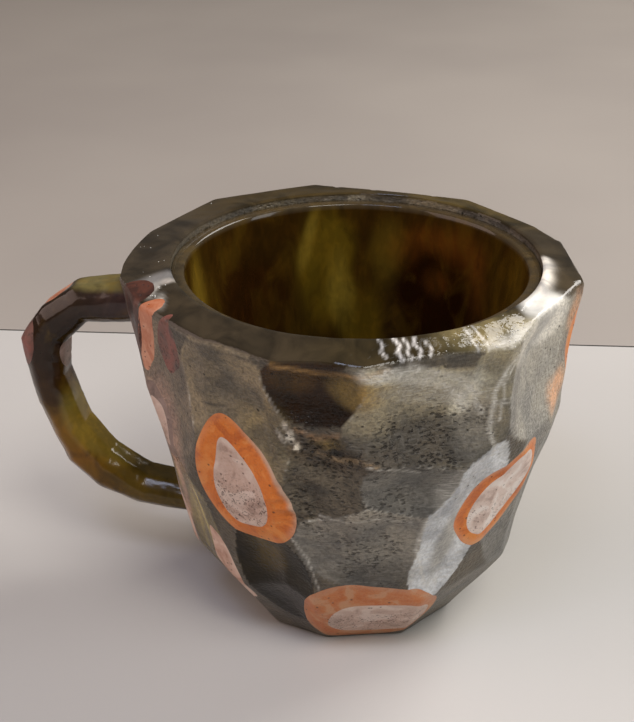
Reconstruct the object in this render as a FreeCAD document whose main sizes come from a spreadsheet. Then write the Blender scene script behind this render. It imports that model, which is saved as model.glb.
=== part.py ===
"""Thick-walled cast-resin mug with ground facets, stone inlays, a liner cup and a loop handle.

Millimetres, +Z up. The origin is the centre of the face that the mug stands on, and the handle
points towards -X. Bearings are degrees anticlockwise from +X, seen from above. A dip is how many
degrees a face looks down below the horizontal.
"""
import FreeCAD, Part
import os
import Sketcher
from FreeCAD import Vector

DIMENSIONS = {
    # Blank that the facets are ground from.
    "mug_height": 90.6,
    "mouth_radius": 43.4,
    "rim_radius": 56.0,
    "rim_slope_drop": 0.8,
    "shoulder_height": 72.0,
    "base_radius": 29.5,
    "heel_height": 9.0,
    "heel_radius": 39.0,
    "belly_height": 50.0,
    "belly_radius": 53.0,
    "grinder_depth": 30.0,
    "grinder_side": 120.0,
    # Bore of the blank and the cup that lines it.
    "lip_drop": 1.9,
    "lip_thickness": 2.0,
    "bore_radius": 42.2,
    "bore_draft": 5.9,
    "bowl_start": 39.0,
    "bowl_floor": 9.0,
    "liner_wall": 2.0,
    # Handle.
    "handle_width": 13.0,
    "handle_bevel": 3.0,
}

# Facet: bearing, height of its middle, reach of its middle from the axis, dip.
FACETS = {
    "brow_left": (248, 75, 50.2, 6),
    "brow_front": (269, 76, 50.2, 6),
    "brow_scoop": (296, 72, 49.8, 1),
    "brow_right": (337, 75, 49.5, 0),
    "brow_side": (12, 75, 50.6, 4),
    "brow_rear_right": (46, 75, 48.8, -3),
    "brow_rear": (82, 75, 47.6, -3),
    "brow_rear_mid": (122, 75, 51.0, 4),
    "brow_rear_left": (158, 75, 51.4, 4),
    "brow_joint": (207, 75, 52.8, 5),
    "brow_chip": (228, 75, 50.6, 4),
    "rim_left": (200, 90.6, 43.4, -77),
    "rim_front_left": (229, 90.6, 43.4, -72.4),
    "rim_front": (257, 90.6, 43.4, -72.4),
    "rim_front_mid": (285, 90.6, 43.4, -72.4),
    "rim_front_right": (313, 90.6, 43.4, -72.4),
    "rim_right": (341, 90.6, 43.4, -73),
    "rim_side": (9, 90.6, 43.4, -77),
    "waist_left": (244, 50, 46.8, 12),
    "waist_front": (266, 50, 46.8, 12),
    "waist_scoop": (291, 48, 46.5, 12),
    "waist_right": (318, 44, 46.0, 14),
    "waist_side": (350, 46, 47.2, 13),
    "waist_rear_right": (25, 46, 46.8, 13),
    "waist_rear": (62, 46, 46.0, 13),
    "waist_rear_mid": (98, 46, 45.8, 13),
    "waist_rear_left": (135, 46, 46.2, 13),
    "waist_far_left": (165, 46, 45.8, 13),
    "waist_handle": (190, 46, 45.8, 13),
    "waist_low_left": (215, 46, 47.3, 13),
    "keel_front": (281, 34, 44.0, 20),
    "heel_left": (252, 16, 37.6, 32),
    "heel_front": (284, 13, 35.4, 34),
    "heel_right": (322, 16, 37.0, 32),
    "heel_side": (358, 14, 35.6, 33),
    "heel_rear_right": (34, 14, 35.4, 33),
    "heel_rear": (72, 14, 35.6, 33),
    "heel_rear_left": (110, 14, 35.3, 33),
    "heel_far_left": (148, 14, 35.6, 33),
    "heel_handle": (186, 14, 35.5, 33),
    "heel_low_left": (221, 15, 37.0, 33),
}

# Pebble: bearing, height and reach of its middle, dip, roll, depth, half width, half height.
PEBBLES = {
    "front_left": (243, 51, 47.2, 12, 12, 5.8, 11.8, 20.5),
    "front_low": (284, 13.5, 35.8, 34, 0, 5.6, 17.5, 14.6),
    "front_right": (323, 43.5, 46.0, 14, -34, 5.8, 10.0, 17.0),
    "side_right": (5, 73, 50.0, 4, 0, 6.0, 11.0, 14.5),
    "rear_right": (62, 65, 49.4, 8, 0, 6.4, 14.0, 16.0),
    "rear_low": (104, 27, 41.6, 24, 70, 5.8, 10.5, 17.0),
    "rear_left": (141, 69, 51.4, 6, 10, 7.6, 12.5, 14.5),
    "side_left": (214, 58.5, 50.0, 12, 6, 5.4, 6.0, 10.0),
    "low_left": (206, 33, 43.6, 18, 8, 5.6, 9.0, 14.5),
}

# Share of the depth, half width and half height that a pebble's core takes, and how far
# the core's middle stands off the pebble's middle, to the right and up, as shares too.
CORES = {
    "front_left": (0.72, 0.58, 0.62, -0.02, 0.02),
    "front_low": (0.72, 0.74, 0.62, 0.16, -0.14),
    "front_right": (0.72, 0.60, 0.74, 0.02, -0.02),
    "side_right": (0.70, 0.62, 0.66, 0.00, 0.00),
    "rear_right": (0.70, 0.66, 0.64, 0.06, 0.00),
    "rear_low": (0.70, 0.62, 0.70, 0.00, 0.04),
    "rear_left": (0.70, 0.64, 0.62, -0.05, 0.03),
    "side_left": (0.70, 0.60, 0.66, 0.00, 0.00),
    "low_left": (0.70, 0.58, 0.70, 0.04, 0.00),
}

# Chip of one stone only, in the mug's wall: same columns as a pebble.
WALL_CHIPS = {
    "joint_chip": (203.5, 80.5, 53.6, 5, 0, 5.4, 5.4, 10.5),
    "joint_stripe_chip": (212.5, 77.5, 53.4, 5, 3, 5.0, 2.6, 11.5),
    "rim_chip": (223.0, 79.0, 51.0, 4, -6, 4.8, 4.4, 7.5),
    "tail_chip": (232, 22, 41.0, 32, 8, 4.4, 3.4, 11.5),
}

# Chip of one stone in the handle: middle (reach from the axis, sideways, height), the tilt of
# its depth from +Z towards the handle's tip, then depth, half length and half width.
HANDLE_CHIPS = {
    "handle_top_chip": (74.6, 2.2, 75.6, 35, 3.4, 5.6, 4.2),
    "handle_corner_chip": (83.6, -4.2, 65.0, 80, 3.6, 6.5, 4.2),
    "handle_inner_chip": (72.6, 0.5, 61.5, 262, 3.2, 5.2, 4.4),
}

# Handle outline: outer corners from the top root to the lower root, then inner ones back.
HANDLE_CORNERS = [
    ("top_root_outer", 46.5, 81.6),
    ("shoulder", 59.5, 81.0),
    ("crown", 69.5, 79.2),
    ("crown_fall", 78.0, 73.2),
    ("knuckle", 84.4, 64.5),
    ("outer_side", 81.4, 46.5),
    ("outer_turn", 74.6, 29.5),
    ("outer_heel", 67.0, 22.3),
    ("outer_low", 56.5, 18.2),
    ("low_root_outer", 36.2, 16.2),
    ("low_root_inner", 39.6, 25.0),
    ("inner_low", 54.0, 27.0),
    ("inner_turn", 63.2, 33.0),
    ("inner_side", 69.2, 41.2),
    ("inner_knuckle", 73.6, 54.5),
    ("inner_crown", 72.6, 63.8),
    ("inner_shoulder", 66.4, 69.8),
    ("top_root_inner", 46.5, 71.4),
]

COLUMNS = ("bearing", "height", "reach", "dip", "roll", "depth", "half_width", "half_height")
CORE_COLUMNS = ("core_depth", "core_width", "core_height", "core_right", "core_up")
HANDLE_CHIP_COLUMNS = ("reach", "aside", "height", "tilt", "depth", "half_length", "half_width")

# Degrees.
QUARTER_TURN = 90
HALF_TURN = 180
FULL_TURN = 360
# Two positions this many mm apart or less count as one.
TOUCH = 0.01

doc = FreeCAD.newDocument("faceted_resin_mug")
sheet = doc.addObject("Spreadsheet::Sheet", "dims")


def fill_sheet():
    """Write every driving dimension on the sheet, one alias to a row."""
    rows = list(DIMENSIONS.items())
    tables = ((FACETS, COLUMNS), (PEBBLES, COLUMNS), (CORES, CORE_COLUMNS), (WALL_CHIPS, COLUMNS))
    for table, columns in tables + ((HANDLE_CHIPS, HANDLE_CHIP_COLUMNS),):
        for name, values in table.items():
            rows += [(f"{name}_{column}", value) for column, value in zip(columns, values)]
    for name, out, up in HANDLE_CORNERS:
        rows += [(f"{name}_out", out), (f"{name}_up", up)]
    for row, (alias, value) in enumerate(rows, start=1):
        sheet.set(f"A{row}", alias)
        sheet.set(f"B{row}", str(value))
        sheet.setAlias(f"B{row}", alias)
    doc.recompute()


def number(expression):
    """Value of an expression on the sheet."""
    return float(sheet.evalExpression(expression))


def origin_plane(body, role):
    """One of a body's own origin planes, by its role."""
    return next(plane for plane in body.Origin.OriginFeatures if plane.Role == role)


def arc_between(first, last, radius):
    """Arc from first to last that bulges to the right of the way between them."""
    chord = last - first
    rise = (radius**2 - (chord.Length / 2) ** 2) ** 0.5
    right = Vector(chord.y, -chord.x, 0).normalize()
    centre = (first + last) / 2 - right * rise
    middle = centre + right * radius
    return Part.Arc(first, middle, last)


def closed_sketch(body, name, role, corners):
    """Closed outline. A corner is (x, y, radius): expressions, and the arc that leaves it or None.

    An arc bulges to the right of the outline's way when its radius is given as it is, and to
    the left when the radius comes as ("left", radius).
    """
    sketch = body.newObject("Sketcher::SketchObject", name)
    sketch.AttachmentSupport = (origin_plane(body, role), [""])
    sketch.MapMode = "FlatFace"
    spots = [Vector(number(x), number(y), 0) for x, y, _ in corners]
    heads = []
    for index, (_, _, radius) in enumerate(corners):
        first, last = spots[index], spots[(index + 1) % len(spots)]
        if radius is None:
            sketch.addGeometry(Part.LineSegment(first, last), False)
            heads.append((1, 2))
        elif isinstance(radius, tuple):
            sketch.addGeometry(arc_between(last, first, number(radius[1])), False)
            heads.append((2, 1))
        else:
            sketch.addGeometry(arc_between(first, last, number(radius)), False)
            heads.append((1, 2))
    for index, (x, y, radius) in enumerate(corners):
        following = (index + 1) % len(corners)
        joint = (index, heads[index][1], following, heads[following][0])
        sketch.addConstraint(Sketcher.Constraint("Coincident", *joint))
        start = heads[index][0]
        for kind, axis, expression in (("DistanceX", -2, x), ("DistanceY", -1, y)):
            if expression == "0":
                sketch.addConstraint(Sketcher.Constraint("PointOnObject", index, start, axis))
            else:
                bind(sketch, Sketcher.Constraint(kind, -1, 1, index, start, number(expression)), expression)
        if radius is not None:
            size = radius[1] if isinstance(radius, tuple) else radius
            bind(sketch, Sketcher.Constraint("Radius", index, number(size)), size)
    return sketch


def bind(sketch, constraint, expression):
    """Add a constraint and drive it from the sheet."""
    index = sketch.addConstraint(constraint)
    sketch.setExpression(f"Constraints[{index}]", expression)


def turned_body(name, corners):
    """Solid of revolution about Z from an outline in the XZ plane."""
    body = doc.addObject("PartDesign::Body", name)
    sketch = closed_sketch(body, f"{name}_section", "XZ_Plane", corners)
    turn = body.newObject("PartDesign::Revolution", f"{name}_turn")
    turn.Profile = sketch
    turn.ReferenceAxis = (sketch, ["V_Axis"])
    turn.Angle = FULL_TURN
    body.Tip = turn
    return body


def seat(name, pitch):
    """Placement expression of a facet, pebble or chip, pitched over at its middle."""
    middle = (
        f"vector(cos(dims.{name}_bearing) * dims.{name}_reach;"
        f" sin(dims.{name}_bearing) * dims.{name}_reach; dims.{name}_height)"
    )
    return f"placement({middle}; rotation(dims.{name}_bearing; {pitch}; 0))"


def facet_seat(name):
    """Placement expression of a facet: local X looks out along its normal."""
    return seat(name, f"dims.{name}_dip")


def stone_seat(name):
    """Placement expression of a stone: local Z looks out, Y to the right, X down, then rolled."""
    lying = seat(name, f"{QUARTER_TURN} + dims.{name}_dip")
    return f"{lying} * placement(vector(0; 0; 0); rotation(dims.{name}_roll; 0; 0))"


def cut(base, tool, name):
    """What is left of base after tool is taken away."""
    result = doc.addObject("Part::Cut", name)
    result.Base = base
    result.Tool = tool
    return result


def common(base, tool, name):
    """What base and tool share."""
    result = doc.addObject("Part::Common", name)
    result.Base = base
    result.Tool = tool
    return result


def make_ground_blank():
    """Turned blank with every facet ground off it, still solid inside."""
    shape = turned_body(
        "blank",
        [
            ("0", "0", None),
            ("dims.base_radius", "0", None),
            ("dims.heel_radius", "dims.heel_height", None),
            ("dims.belly_radius", "dims.belly_height", None),
            ("dims.rim_radius", "dims.shoulder_height", None),
            ("dims.rim_radius", "dims.mug_height - dims.rim_slope_drop", None),
            ("dims.mouth_radius", "dims.mug_height", None),
            ("0", "dims.mug_height", None),
        ],
    )
    for name in FACETS:
        grinder = doc.addObject("Part::Box", f"{name}_grinder")
        grinder.setExpression("Length", "dims.grinder_depth")
        grinder.setExpression("Width", "dims.grinder_side")
        grinder.setExpression("Height", "dims.grinder_side")
        centring = "placement(vector(0; -dims.grinder_side / 2; -dims.grinder_side / 2); rotation(0; 0; 0))"
        grinder.setExpression("Placement", f"{facet_seat(name)} * {centring}")
        shape = cut(shape, grinder, f"{name}_ground")
    return shape


# Expressions of the bore: its lip seat, its bowl, the wall's foot on the bowl and the floor's flat.
LIP_TOP = "(dims.mug_height - dims.lip_drop)"
LIP_SEAT = f"({LIP_TOP} - dims.lip_thickness)"
BOWL_RADIUS = "(dims.bowl_start - dims.bowl_floor) / (1 - sin(dims.bore_draft))"
WALL_FOOT = f"(dims.bore_radius - ({LIP_SEAT} - dims.bowl_start) * tan(dims.bore_draft))"
FLOOR_FLAT = f"{WALL_FOOT} - ({BOWL_RADIUS}) * cos(dims.bore_draft)"


def make_bore():
    """Space that the liner cup fills, its lip seat included, up through the mouth."""
    clear = "dims.mug_height + dims.lip_thickness"
    return turned_body(
        "bore",
        [
            ("0", "dims.bowl_floor", None),
            (FLOOR_FLAT, "dims.bowl_floor", BOWL_RADIUS),
            (WALL_FOOT, "dims.bowl_start", None),
            ("dims.bore_radius", LIP_SEAT, None),
            ("dims.mouth_radius", LIP_SEAT, None),
            ("dims.mouth_radius", clear, None),
            ("0", clear, None),
        ],
    )


def make_liner():
    """Cup with a flanged lip that lines the bore."""
    inner_foot = f"({WALL_FOOT} - dims.liner_wall * cos(dims.bore_draft))"
    inner_start = "(dims.bowl_start + dims.liner_wall * sin(dims.bore_draft))"
    lip_inner = f"{inner_foot} + ({LIP_TOP} - {inner_start}) * tan(dims.bore_draft)"
    inner_floor = "dims.bowl_floor + dims.liner_wall"
    body = turned_body(
        "liner_cup",
        [
            ("0", "dims.bowl_floor", None),
            (FLOOR_FLAT, "dims.bowl_floor", BOWL_RADIUS),
            (WALL_FOOT, "dims.bowl_start", None),
            ("dims.bore_radius", LIP_SEAT, None),
            ("dims.mouth_radius", LIP_SEAT, None),
            ("dims.mouth_radius", LIP_TOP, None),
            (lip_inner, LIP_TOP, None),
            (inner_foot, inner_start, ("left", f"{BOWL_RADIUS} - dims.liner_wall")),
            (FLOOR_FLAT, inner_floor, None),
            ("0", inner_floor, None),
        ],
    )
    body.Label = "liner_cup"
    return body


def make_handle_blank():
    """Slab cut to the loop's outline with its long edges bevelled, pointing towards -X."""
    body = doc.addObject("PartDesign::Body", "handle_blank")
    corners = [(f"dims.{name}_out", f"dims.{name}_up", None) for name, _, _ in HANDLE_CORNERS]
    sketch = closed_sketch(body, "handle_outline", "XZ_Plane", corners)
    pad = body.newObject("PartDesign::Pad", "handle_slab")
    pad.Profile = sketch
    pad.Midplane = True
    pad.setExpression("Length", "dims.handle_width")
    body.Tip = pad
    doc.recompute()
    bevel = body.newObject("PartDesign::Chamfer", "handle_bevel")
    bevel.Base = (pad, long_edges(pad.Shape))
    bevel.setExpression("Size", "dims.handle_bevel")
    body.Tip = bevel
    body.Placement = FreeCAD.Placement(Vector(0, 0, 0), FreeCAD.Rotation(Vector(0, 0, 1), HALF_TURN))
    return body


def long_edges(shape):
    """Names of the slab's edges that lie in its two flat sides, the two root faces left out."""
    half = number("dims.handle_width") / 2
    root = number("dims.top_root_outer_out") + TOUCH
    low_root = max(number("dims.low_root_outer_out"), number("dims.low_root_inner_out"))
    names = []
    for index, edge in enumerate(shape.Edges, start=1):
        first, last = (vertex.Point for vertex in edge.Vertexes)
        beside = abs(abs(first.y) - half) < TOUCH and abs(first.y - last.y) < TOUCH
        at_top_root = first.x < root and last.x < root
        at_low_root = first.x <= low_root and last.x <= low_root
        if beside and not at_top_root and not at_low_root:
            names.append(f"Edge{index}")
    return names


def ellipsoid(name, along_z, along_x, along_y, place):
    """Ellipsoid with its half sizes along its own Z, X and Y, its poles on Z."""
    solid = doc.addObject("Part::Ellipsoid", name)
    solid.setExpression("Radius1", along_z)
    solid.setExpression("Radius2", along_x)
    solid.setExpression("Radius3", along_y)
    solid.Angle1 = -QUARTER_TURN
    solid.Angle2 = QUARTER_TURN
    solid.Angle3 = FULL_TURN
    solid.setExpression("Placement", place)
    return solid


def wall_stone(name):
    """Whole stone that a pebble or wall chip was before it was ground flush."""
    sizes = [f"dims.{name}_{column}" for column in ("depth", "half_height", "half_width")]
    return ellipsoid(f"{name}_stone", *sizes, stone_seat(name))


def make_pebble(name, ground):
    """Rind and core of a pebble, ground flush with the facets, and the space that it fills."""
    stone = wall_stone(name)
    aside = f"dims.{name}_half_width * dims.{name}_core_right"
    up = f"dims.{name}_half_height * dims.{name}_core_up"
    place = f"{stone_seat(name)} * placement(vector(-{up}; {aside}; 0); rotation(0; 0; 0))"
    sizes = [
        f"dims.{name}_{size} * dims.{name}_core_{share}"
        for size, share in (("depth", "depth"), ("half_height", "height"), ("half_width", "width"))
    ]
    heart = ellipsoid(f"{name}_heart", *sizes, place)
    flush = common(ground, stone, f"{name}_flush")
    rind = cut(flush, heart, f"{name}_rind")
    core = common(flush, heart, f"{name}_core")
    rind.Label = f"{name}_rind"
    core.Label = f"{name}_core"
    return stone, [rind, core]


def make_wall_chip(name, ground):
    """One-stone chip ground flush with the facets, and the space that it fills."""
    stone = wall_stone(name)
    chip = common(ground, stone, name)
    chip.Label = name
    return stone, chip


def make_handle_chip(name, blank):
    """One-stone chip ground flush with the handle, and the space that it fills."""
    middle = f"vector(-dims.{name}_reach; dims.{name}_aside; dims.{name}_height)"
    place = f"placement({middle}; rotation(0; -dims.{name}_tilt; 0))"
    sizes = [f"dims.{name}_{size}" for size in ("depth", "half_length", "half_width")]
    stone = ellipsoid(f"{name}_stone", *sizes, place)
    chip = common(blank, stone, name)
    chip.Label = name
    return stone, chip


def make_handle(blank, stones):
    """Handle with a pocket for each of its chips."""
    handle = blank
    for stone in stones:
        handle = cut(handle, stone, f"handle_less_{stone.Name}")
    handle.Label = "handle"
    return handle


def make_mug_body(ground, bore, handle_blank, stones):
    """Faceted body with its bore, a mortise for each handle root and a pocket for each stone."""
    body = cut(ground, bore, "bored")
    body = cut(body, handle_blank, "mortised")
    for stone in stones:
        body = cut(body, stone, f"body_less_{stone.Name}")
    body.Label = "mug_body"
    return body


def check(pieces):
    """Stop if an object failed to compute or a piece isn't a valid solid."""
    for thing in doc.Objects:
        if "Invalid" in thing.State or "Error" in thing.State:
            raise RuntimeError(f"{thing.Name} did not compute: {thing.State}")
    for piece in pieces:
        if piece.Shape.isNull() or not piece.Shape.isValid() or not piece.Shape.Solids:
            raise RuntimeError(f"{piece.Label} is not a valid solid")


def export(pieces):
    """Write each piece to its own STEP file."""
    os.makedirs("parts", exist_ok=True)
    for piece in pieces:
        piece.Shape.exportStep(f"parts/{piece.Label}.step")
        box = piece.Shape.BoundBox
        sizes = f"{box.XLength:6.1f} {box.YLength:6.1f} {box.ZLength:6.1f}"
        print(f"{piece.Label:22s} {len(piece.Shape.Solids)} solid {piece.Shape.Volume:10.1f} mm3 {sizes}")


def main():
    """Build every piece, check it and write it."""
    fill_sheet()
    ground = make_ground_blank()
    handle_blank = make_handle_blank()
    pieces = [make_liner()]
    stones = []
    for name in PEBBLES:
        stone, halves = make_pebble(name, ground)
        stones.append(stone)
        pieces += halves
    for name in WALL_CHIPS:
        stone, chip = make_wall_chip(name, ground)
        stones.append(stone)
        pieces.append(chip)
    handle_stones = []
    for name in HANDLE_CHIPS:
        stone, chip = make_handle_chip(name, handle_blank)
        handle_stones.append(stone)
        pieces.append(chip)
    pieces.append(make_handle(handle_blank, handle_stones))
    pieces.append(make_mug_body(ground, make_bore(), handle_blank, stones))
    doc.recompute()
    check(pieces)
    export(pieces)


main()
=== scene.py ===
"""Looks of a hand-ground cast-resin mug with stone pebbles set flush in its thick wall.

Sizes in this file are millimetres unless a name ends in _m. Meshes are written in metres, in the
part's own frame: the origin is the centre of the foot, +Z is up and the handle points to -X. A
bearing is degrees anticlockwise from +X, seen from above.
"""
import logging
import math
from collections.abc import Sequence
from dataclasses import dataclass, field
from enum import Enum

import bmesh
import bpy
import numpy as np
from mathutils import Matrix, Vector
from mathutils.bvhtree import BVHTree


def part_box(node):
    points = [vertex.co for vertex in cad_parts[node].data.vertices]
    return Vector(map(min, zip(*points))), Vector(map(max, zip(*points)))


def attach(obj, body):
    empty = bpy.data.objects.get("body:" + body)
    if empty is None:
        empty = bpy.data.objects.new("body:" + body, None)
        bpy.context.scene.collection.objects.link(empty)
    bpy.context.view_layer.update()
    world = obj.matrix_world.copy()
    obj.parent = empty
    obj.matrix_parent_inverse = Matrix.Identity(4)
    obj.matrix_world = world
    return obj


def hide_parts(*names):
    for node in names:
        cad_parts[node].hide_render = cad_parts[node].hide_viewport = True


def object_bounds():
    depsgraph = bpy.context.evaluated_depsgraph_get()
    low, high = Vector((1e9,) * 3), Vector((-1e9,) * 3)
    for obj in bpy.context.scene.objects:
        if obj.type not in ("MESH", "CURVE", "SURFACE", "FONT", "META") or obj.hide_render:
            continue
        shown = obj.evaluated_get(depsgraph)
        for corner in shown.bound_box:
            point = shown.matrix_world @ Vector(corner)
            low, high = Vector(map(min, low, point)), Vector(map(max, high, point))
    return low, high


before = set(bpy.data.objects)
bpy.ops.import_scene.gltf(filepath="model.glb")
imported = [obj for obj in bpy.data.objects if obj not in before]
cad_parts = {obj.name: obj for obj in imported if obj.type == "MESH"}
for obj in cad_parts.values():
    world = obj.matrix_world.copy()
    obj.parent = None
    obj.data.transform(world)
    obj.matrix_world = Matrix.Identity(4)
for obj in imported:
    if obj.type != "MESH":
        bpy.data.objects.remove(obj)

CAD_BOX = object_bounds()
MM = 0.001
ROOT = "root"
SHARP_EDGE = 48.0  # degrees between faces past which an edge stays crisp
Array = np.ndarray
log = logging.getLogger("mug")


# Numbers, colour and noise -------------------------------------------------------------------


def linear(hex_colour: str) -> tuple[float, float, float, float]:
    """Turn an sRGB hex colour into linear light.

    Args:
        hex_colour: six hex digits with a leading #.

    Returns:
        Red, green, blue and an alpha of one.
    """
    parts = [int(hex_colour[i : i + 2], 16) / 255 for i in (1, 3, 5)]
    lin = [p / 12.92 if p <= 0.04045 else ((p + 0.055) / 1.055) ** 2.4 for p in parts]
    return lin[0], lin[1], lin[2], 1.0


def per_metre(size_mm: float) -> float:
    """Texture scale that gives a feature of this size on Object coordinates in metres."""
    return 1000.0 / size_mm


def smooth(low: float, high: float, value: Array) -> Array:
    """Smooth step from 0 at low to 1 at high."""
    share = np.clip((value - low) / (high - low), 0, 1)
    return share * share * (3 - 2 * share)


def turn_between(first: Array, second: float) -> Array:
    """Signed angle in degrees from second to first, between -180 and 180."""
    return (first - second + 180) % 360 - 180


def round_axis(radius: Array | float, turn: Array, height: Array | float) -> Array:
    """Points at a radius, an angle in radians and a height, one row each."""
    x, y, z = np.broadcast_arrays(radius * np.cos(turn), radius * np.sin(turn), height)
    return np.stack([x, y, z], axis=-1)


def tinted(tone: Array, colour: str, share: Array) -> Array:
    """Move the linear tone of each vertex towards a colour.

    Args:
        tone: linear red, green and blue, one row a vertex.
        colour: sRGB hex colour.
        share: how far each vertex moves, from 0 to 1.

    Returns:
        The new tone.
    """
    share = share[:, None]
    return tone * (1 - share) + np.array(linear(colour)[:3]) * share


class Grain:
    """Value noise on a lattice that gives the same numbers on every run."""

    TABLE_SIZE = 8192  # a power of two, so that a mask keeps every corner's number in the table
    PRIMES = (73856093, 19349663, 83492791)  # one for each axis, to scatter neighbouring corners
    OCTAVE_SHIFT = 31.7  # keeps the octaves' lattices from lining up

    def __init__(self, seed: int) -> None:
        """Fill the lattice from the seed."""
        self.table = np.random.default_rng(seed).uniform(-1, 1, self.TABLE_SIZE)

    def _corner(self, cell: Array) -> Array:
        """Value at a whole lattice corner."""
        mixed = cell * np.array(self.PRIMES)
        mixed = mixed[..., 0] ^ mixed[..., 1] ^ mixed[..., 2]
        return self.table[mixed & (self.TABLE_SIZE - 1)]

    def at(self, points: Array, size: float, octaves: int = 3) -> Array:
        """Noise at points.

        Args:
            points: positions in mm, one row each.
            size: size in mm of the largest feature.
            octaves: how many halvings of the size are added.

        Returns:
            One value a point, roughly -1 to 1.
        """
        total = np.zeros(points.shape[:-1])
        weight = 1.0
        for octave in range(octaves):
            spot = points * (2**octave / size) + self.OCTAVE_SHIFT * octave
            cell = np.floor(spot).astype(np.int64)
            part = spot - cell
            part = part * part * (3 - 2 * part)
            value = np.zeros_like(total)
            for corner in np.ndindex(2, 2, 2):
                share = np.prod(np.where(corner, part, 1 - part), axis=-1)
                value += share * self._corner(cell + np.array(corner))
            total += weight * value
            weight *= 0.5
        return total / (2 - 2 ** (1 - octaves))


# Mesh helpers --------------------------------------------------------------------------------


def mesh_object(name: str, points_mm: Array, faces: Sequence[Sequence[int]]) -> bpy.types.Object:
    """Make a mesh object from points in mm, its faces turned outwards.

    Args:
        name: name of the object and its mesh.
        points_mm: positions, one row each.
        faces: point numbers of each face.

    Returns:
        The object, linked into the scene.
    """
    mesh = bpy.data.meshes.new(name)
    mesh.from_pydata((points_mm * MM).tolist(), [], [list(face) for face in faces])
    thing = bpy.data.objects.new(name, mesh)
    bpy.context.scene.collection.objects.link(thing)
    work = bmesh.new()
    work.from_mesh(mesh)
    bmesh.ops.recalc_face_normals(work, faces=work.faces)
    work.to_mesh(mesh)
    work.free()
    return thing


def tube_faces(rings: int, around: int) -> list[tuple[int, ...]]:
    """Faces of a closed skin of rings with one point at either end.

    Args:
        rings: how many rings there are.
        around: how many points each ring has.

    Returns:
        Point numbers of each face. The points are the rings in order, then the start's end point
        and the end's.
    """
    faces: list[tuple[int, ...]] = []
    start, end = rings * around, rings * around + 1
    last = (rings - 1) * around
    for j in range(around):
        k = (j + 1) % around
        faces.append((start, k, j))
        for ring in range(0, last, around):
            after = ring + around
            faces.append((ring + j, ring + k, after + k, after + j))
        faces.append((end, last + j, last + k))
    return faces


def points_of(thing: bpy.types.Object) -> Array:
    """Vertex positions of an object in mm."""
    flat = np.empty(len(thing.data.vertices) * 3)
    thing.data.vertices.foreach_get("co", flat)
    return flat.reshape(-1, 3) / MM


def set_points(thing: bpy.types.Object, points_mm: Array) -> None:
    """Move an object's vertices to these positions in mm."""
    thing.data.vertices.foreach_set("co", (points_mm * MM).ravel())
    thing.data.update()


def set_number(thing: bpy.types.Object, name: str, values: Array) -> None:
    """Store one number a vertex under a name that a material reads."""
    layer = thing.data.attributes.new(name, "FLOAT", "POINT")
    layer.data.foreach_set("value", np.clip(values, 0, 1).astype(np.float32))


def set_colour(thing: bpy.types.Object, name: str, colours: Array) -> None:
    """Store one linear colour a vertex under a name that a material reads."""
    layer = thing.data.attributes.new(name, "FLOAT_COLOR", "POINT")
    rgba = np.concatenate([np.clip(colours, 0, 1), np.ones((len(colours), 1))], axis=1)
    layer.data.foreach_set("color", rgba.astype(np.float32).ravel())


def evaluated_mesh(thing: bpy.types.Object) -> bpy.types.Mesh:
    """Plain mesh of an object with its modifiers applied."""
    graph = bpy.context.evaluated_depsgraph_get()
    return bpy.data.meshes.new_from_object(thing.evaluated_get(graph))


class Join(Enum):
    """Ways that two closed meshes are put together."""

    CUT = "DIFFERENCE"
    SHARE = "INTERSECT"


def joined(base: bpy.types.Object, tool: bpy.types.Object, way: Join, name: str) -> bpy.types.Object:
    """New object made from two closed meshes.

    Args:
        base: the mesh that is kept or cut.
        tool: the mesh that cuts it.
        way: what is kept.
        name: name of the new object.

    Returns:
        The new object. base and tool are left as they were.
    """
    modifier = base.modifiers.new("join", "BOOLEAN")
    modifier.object = tool
    modifier.operation = way.value
    modifier.solver = "MANIFOLD"
    mesh = evaluated_mesh(base)
    base.modifiers.remove(modifier)
    made = bpy.data.objects.new(name, mesh)
    mesh.name = name
    bpy.context.scene.collection.objects.link(made)
    return made


def discard(*things: bpy.types.Object) -> None:
    """Remove helper objects and their meshes."""
    for thing in things:
        mesh = thing.data
        bpy.data.objects.remove(thing)
        bpy.data.meshes.remove(mesh)


def finish_piece(thing: bpy.types.Object, material: bpy.types.Material, slot: str, *nodes: str) -> None:
    """Smooth a piece, dress it, hang it under the root body, and hide the frame's nodes that it stands
    for.

    Args:
        thing: the finished piece.
        material: what it is made of.
        slot: name for that material; not used.
        nodes: the frame's nodes that the piece stands for.
    """
    mesh = thing.data
    mesh.materials.clear()
    mesh.materials.append(material)
    mesh.polygons.foreach_set("material_index", np.zeros(len(mesh.polygons), dtype=np.int32))
    mesh.polygons.foreach_set("use_smooth", np.ones(len(mesh.polygons), dtype=bool))
    mesh.set_sharp_from_angle(angle=math.radians(SHARP_EDGE))
    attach(thing, ROOT)
    if nodes:
        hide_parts(*nodes)
    log.info("%s: %d faces", thing.name, len(mesh.polygons))


# Ground surface, read off the frame ----------------------------------------------------------


def frame_tree(prefixes: Sequence[str]) -> BVHTree:
    """Search tree over the frame's nodes.

    Args:
        prefixes: a node counts when its name starts with one of these.

    Returns:
        The tree, in metres.
    """
    points: list[Vector] = []
    faces: list[list[int]] = []
    for name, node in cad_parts.items():
        if not name.startswith(tuple(prefixes)):
            continue
        start = len(points)
        points += [node.matrix_world @ vertex.co for vertex in node.data.vertices]
        faces += [[start + i for i in polygon.vertices] for polygon in node.data.polygons]
    return BVHTree.FromPolygons(points, faces)


def median_filter(grid: Array) -> Array:
    """Median of each value and its eight neighbours; the second axis wraps round."""
    rows = np.pad(grid, ((1, 1), (0, 0)), mode="edge")
    steps = [(up, turn) for up in (0, 1, 2) for turn in (-1, 0, 1)]
    stack = [np.roll(rows, turn, axis=1)[up : up + len(grid)] for up, turn in steps]
    return np.median(stack, axis=0)


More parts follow.
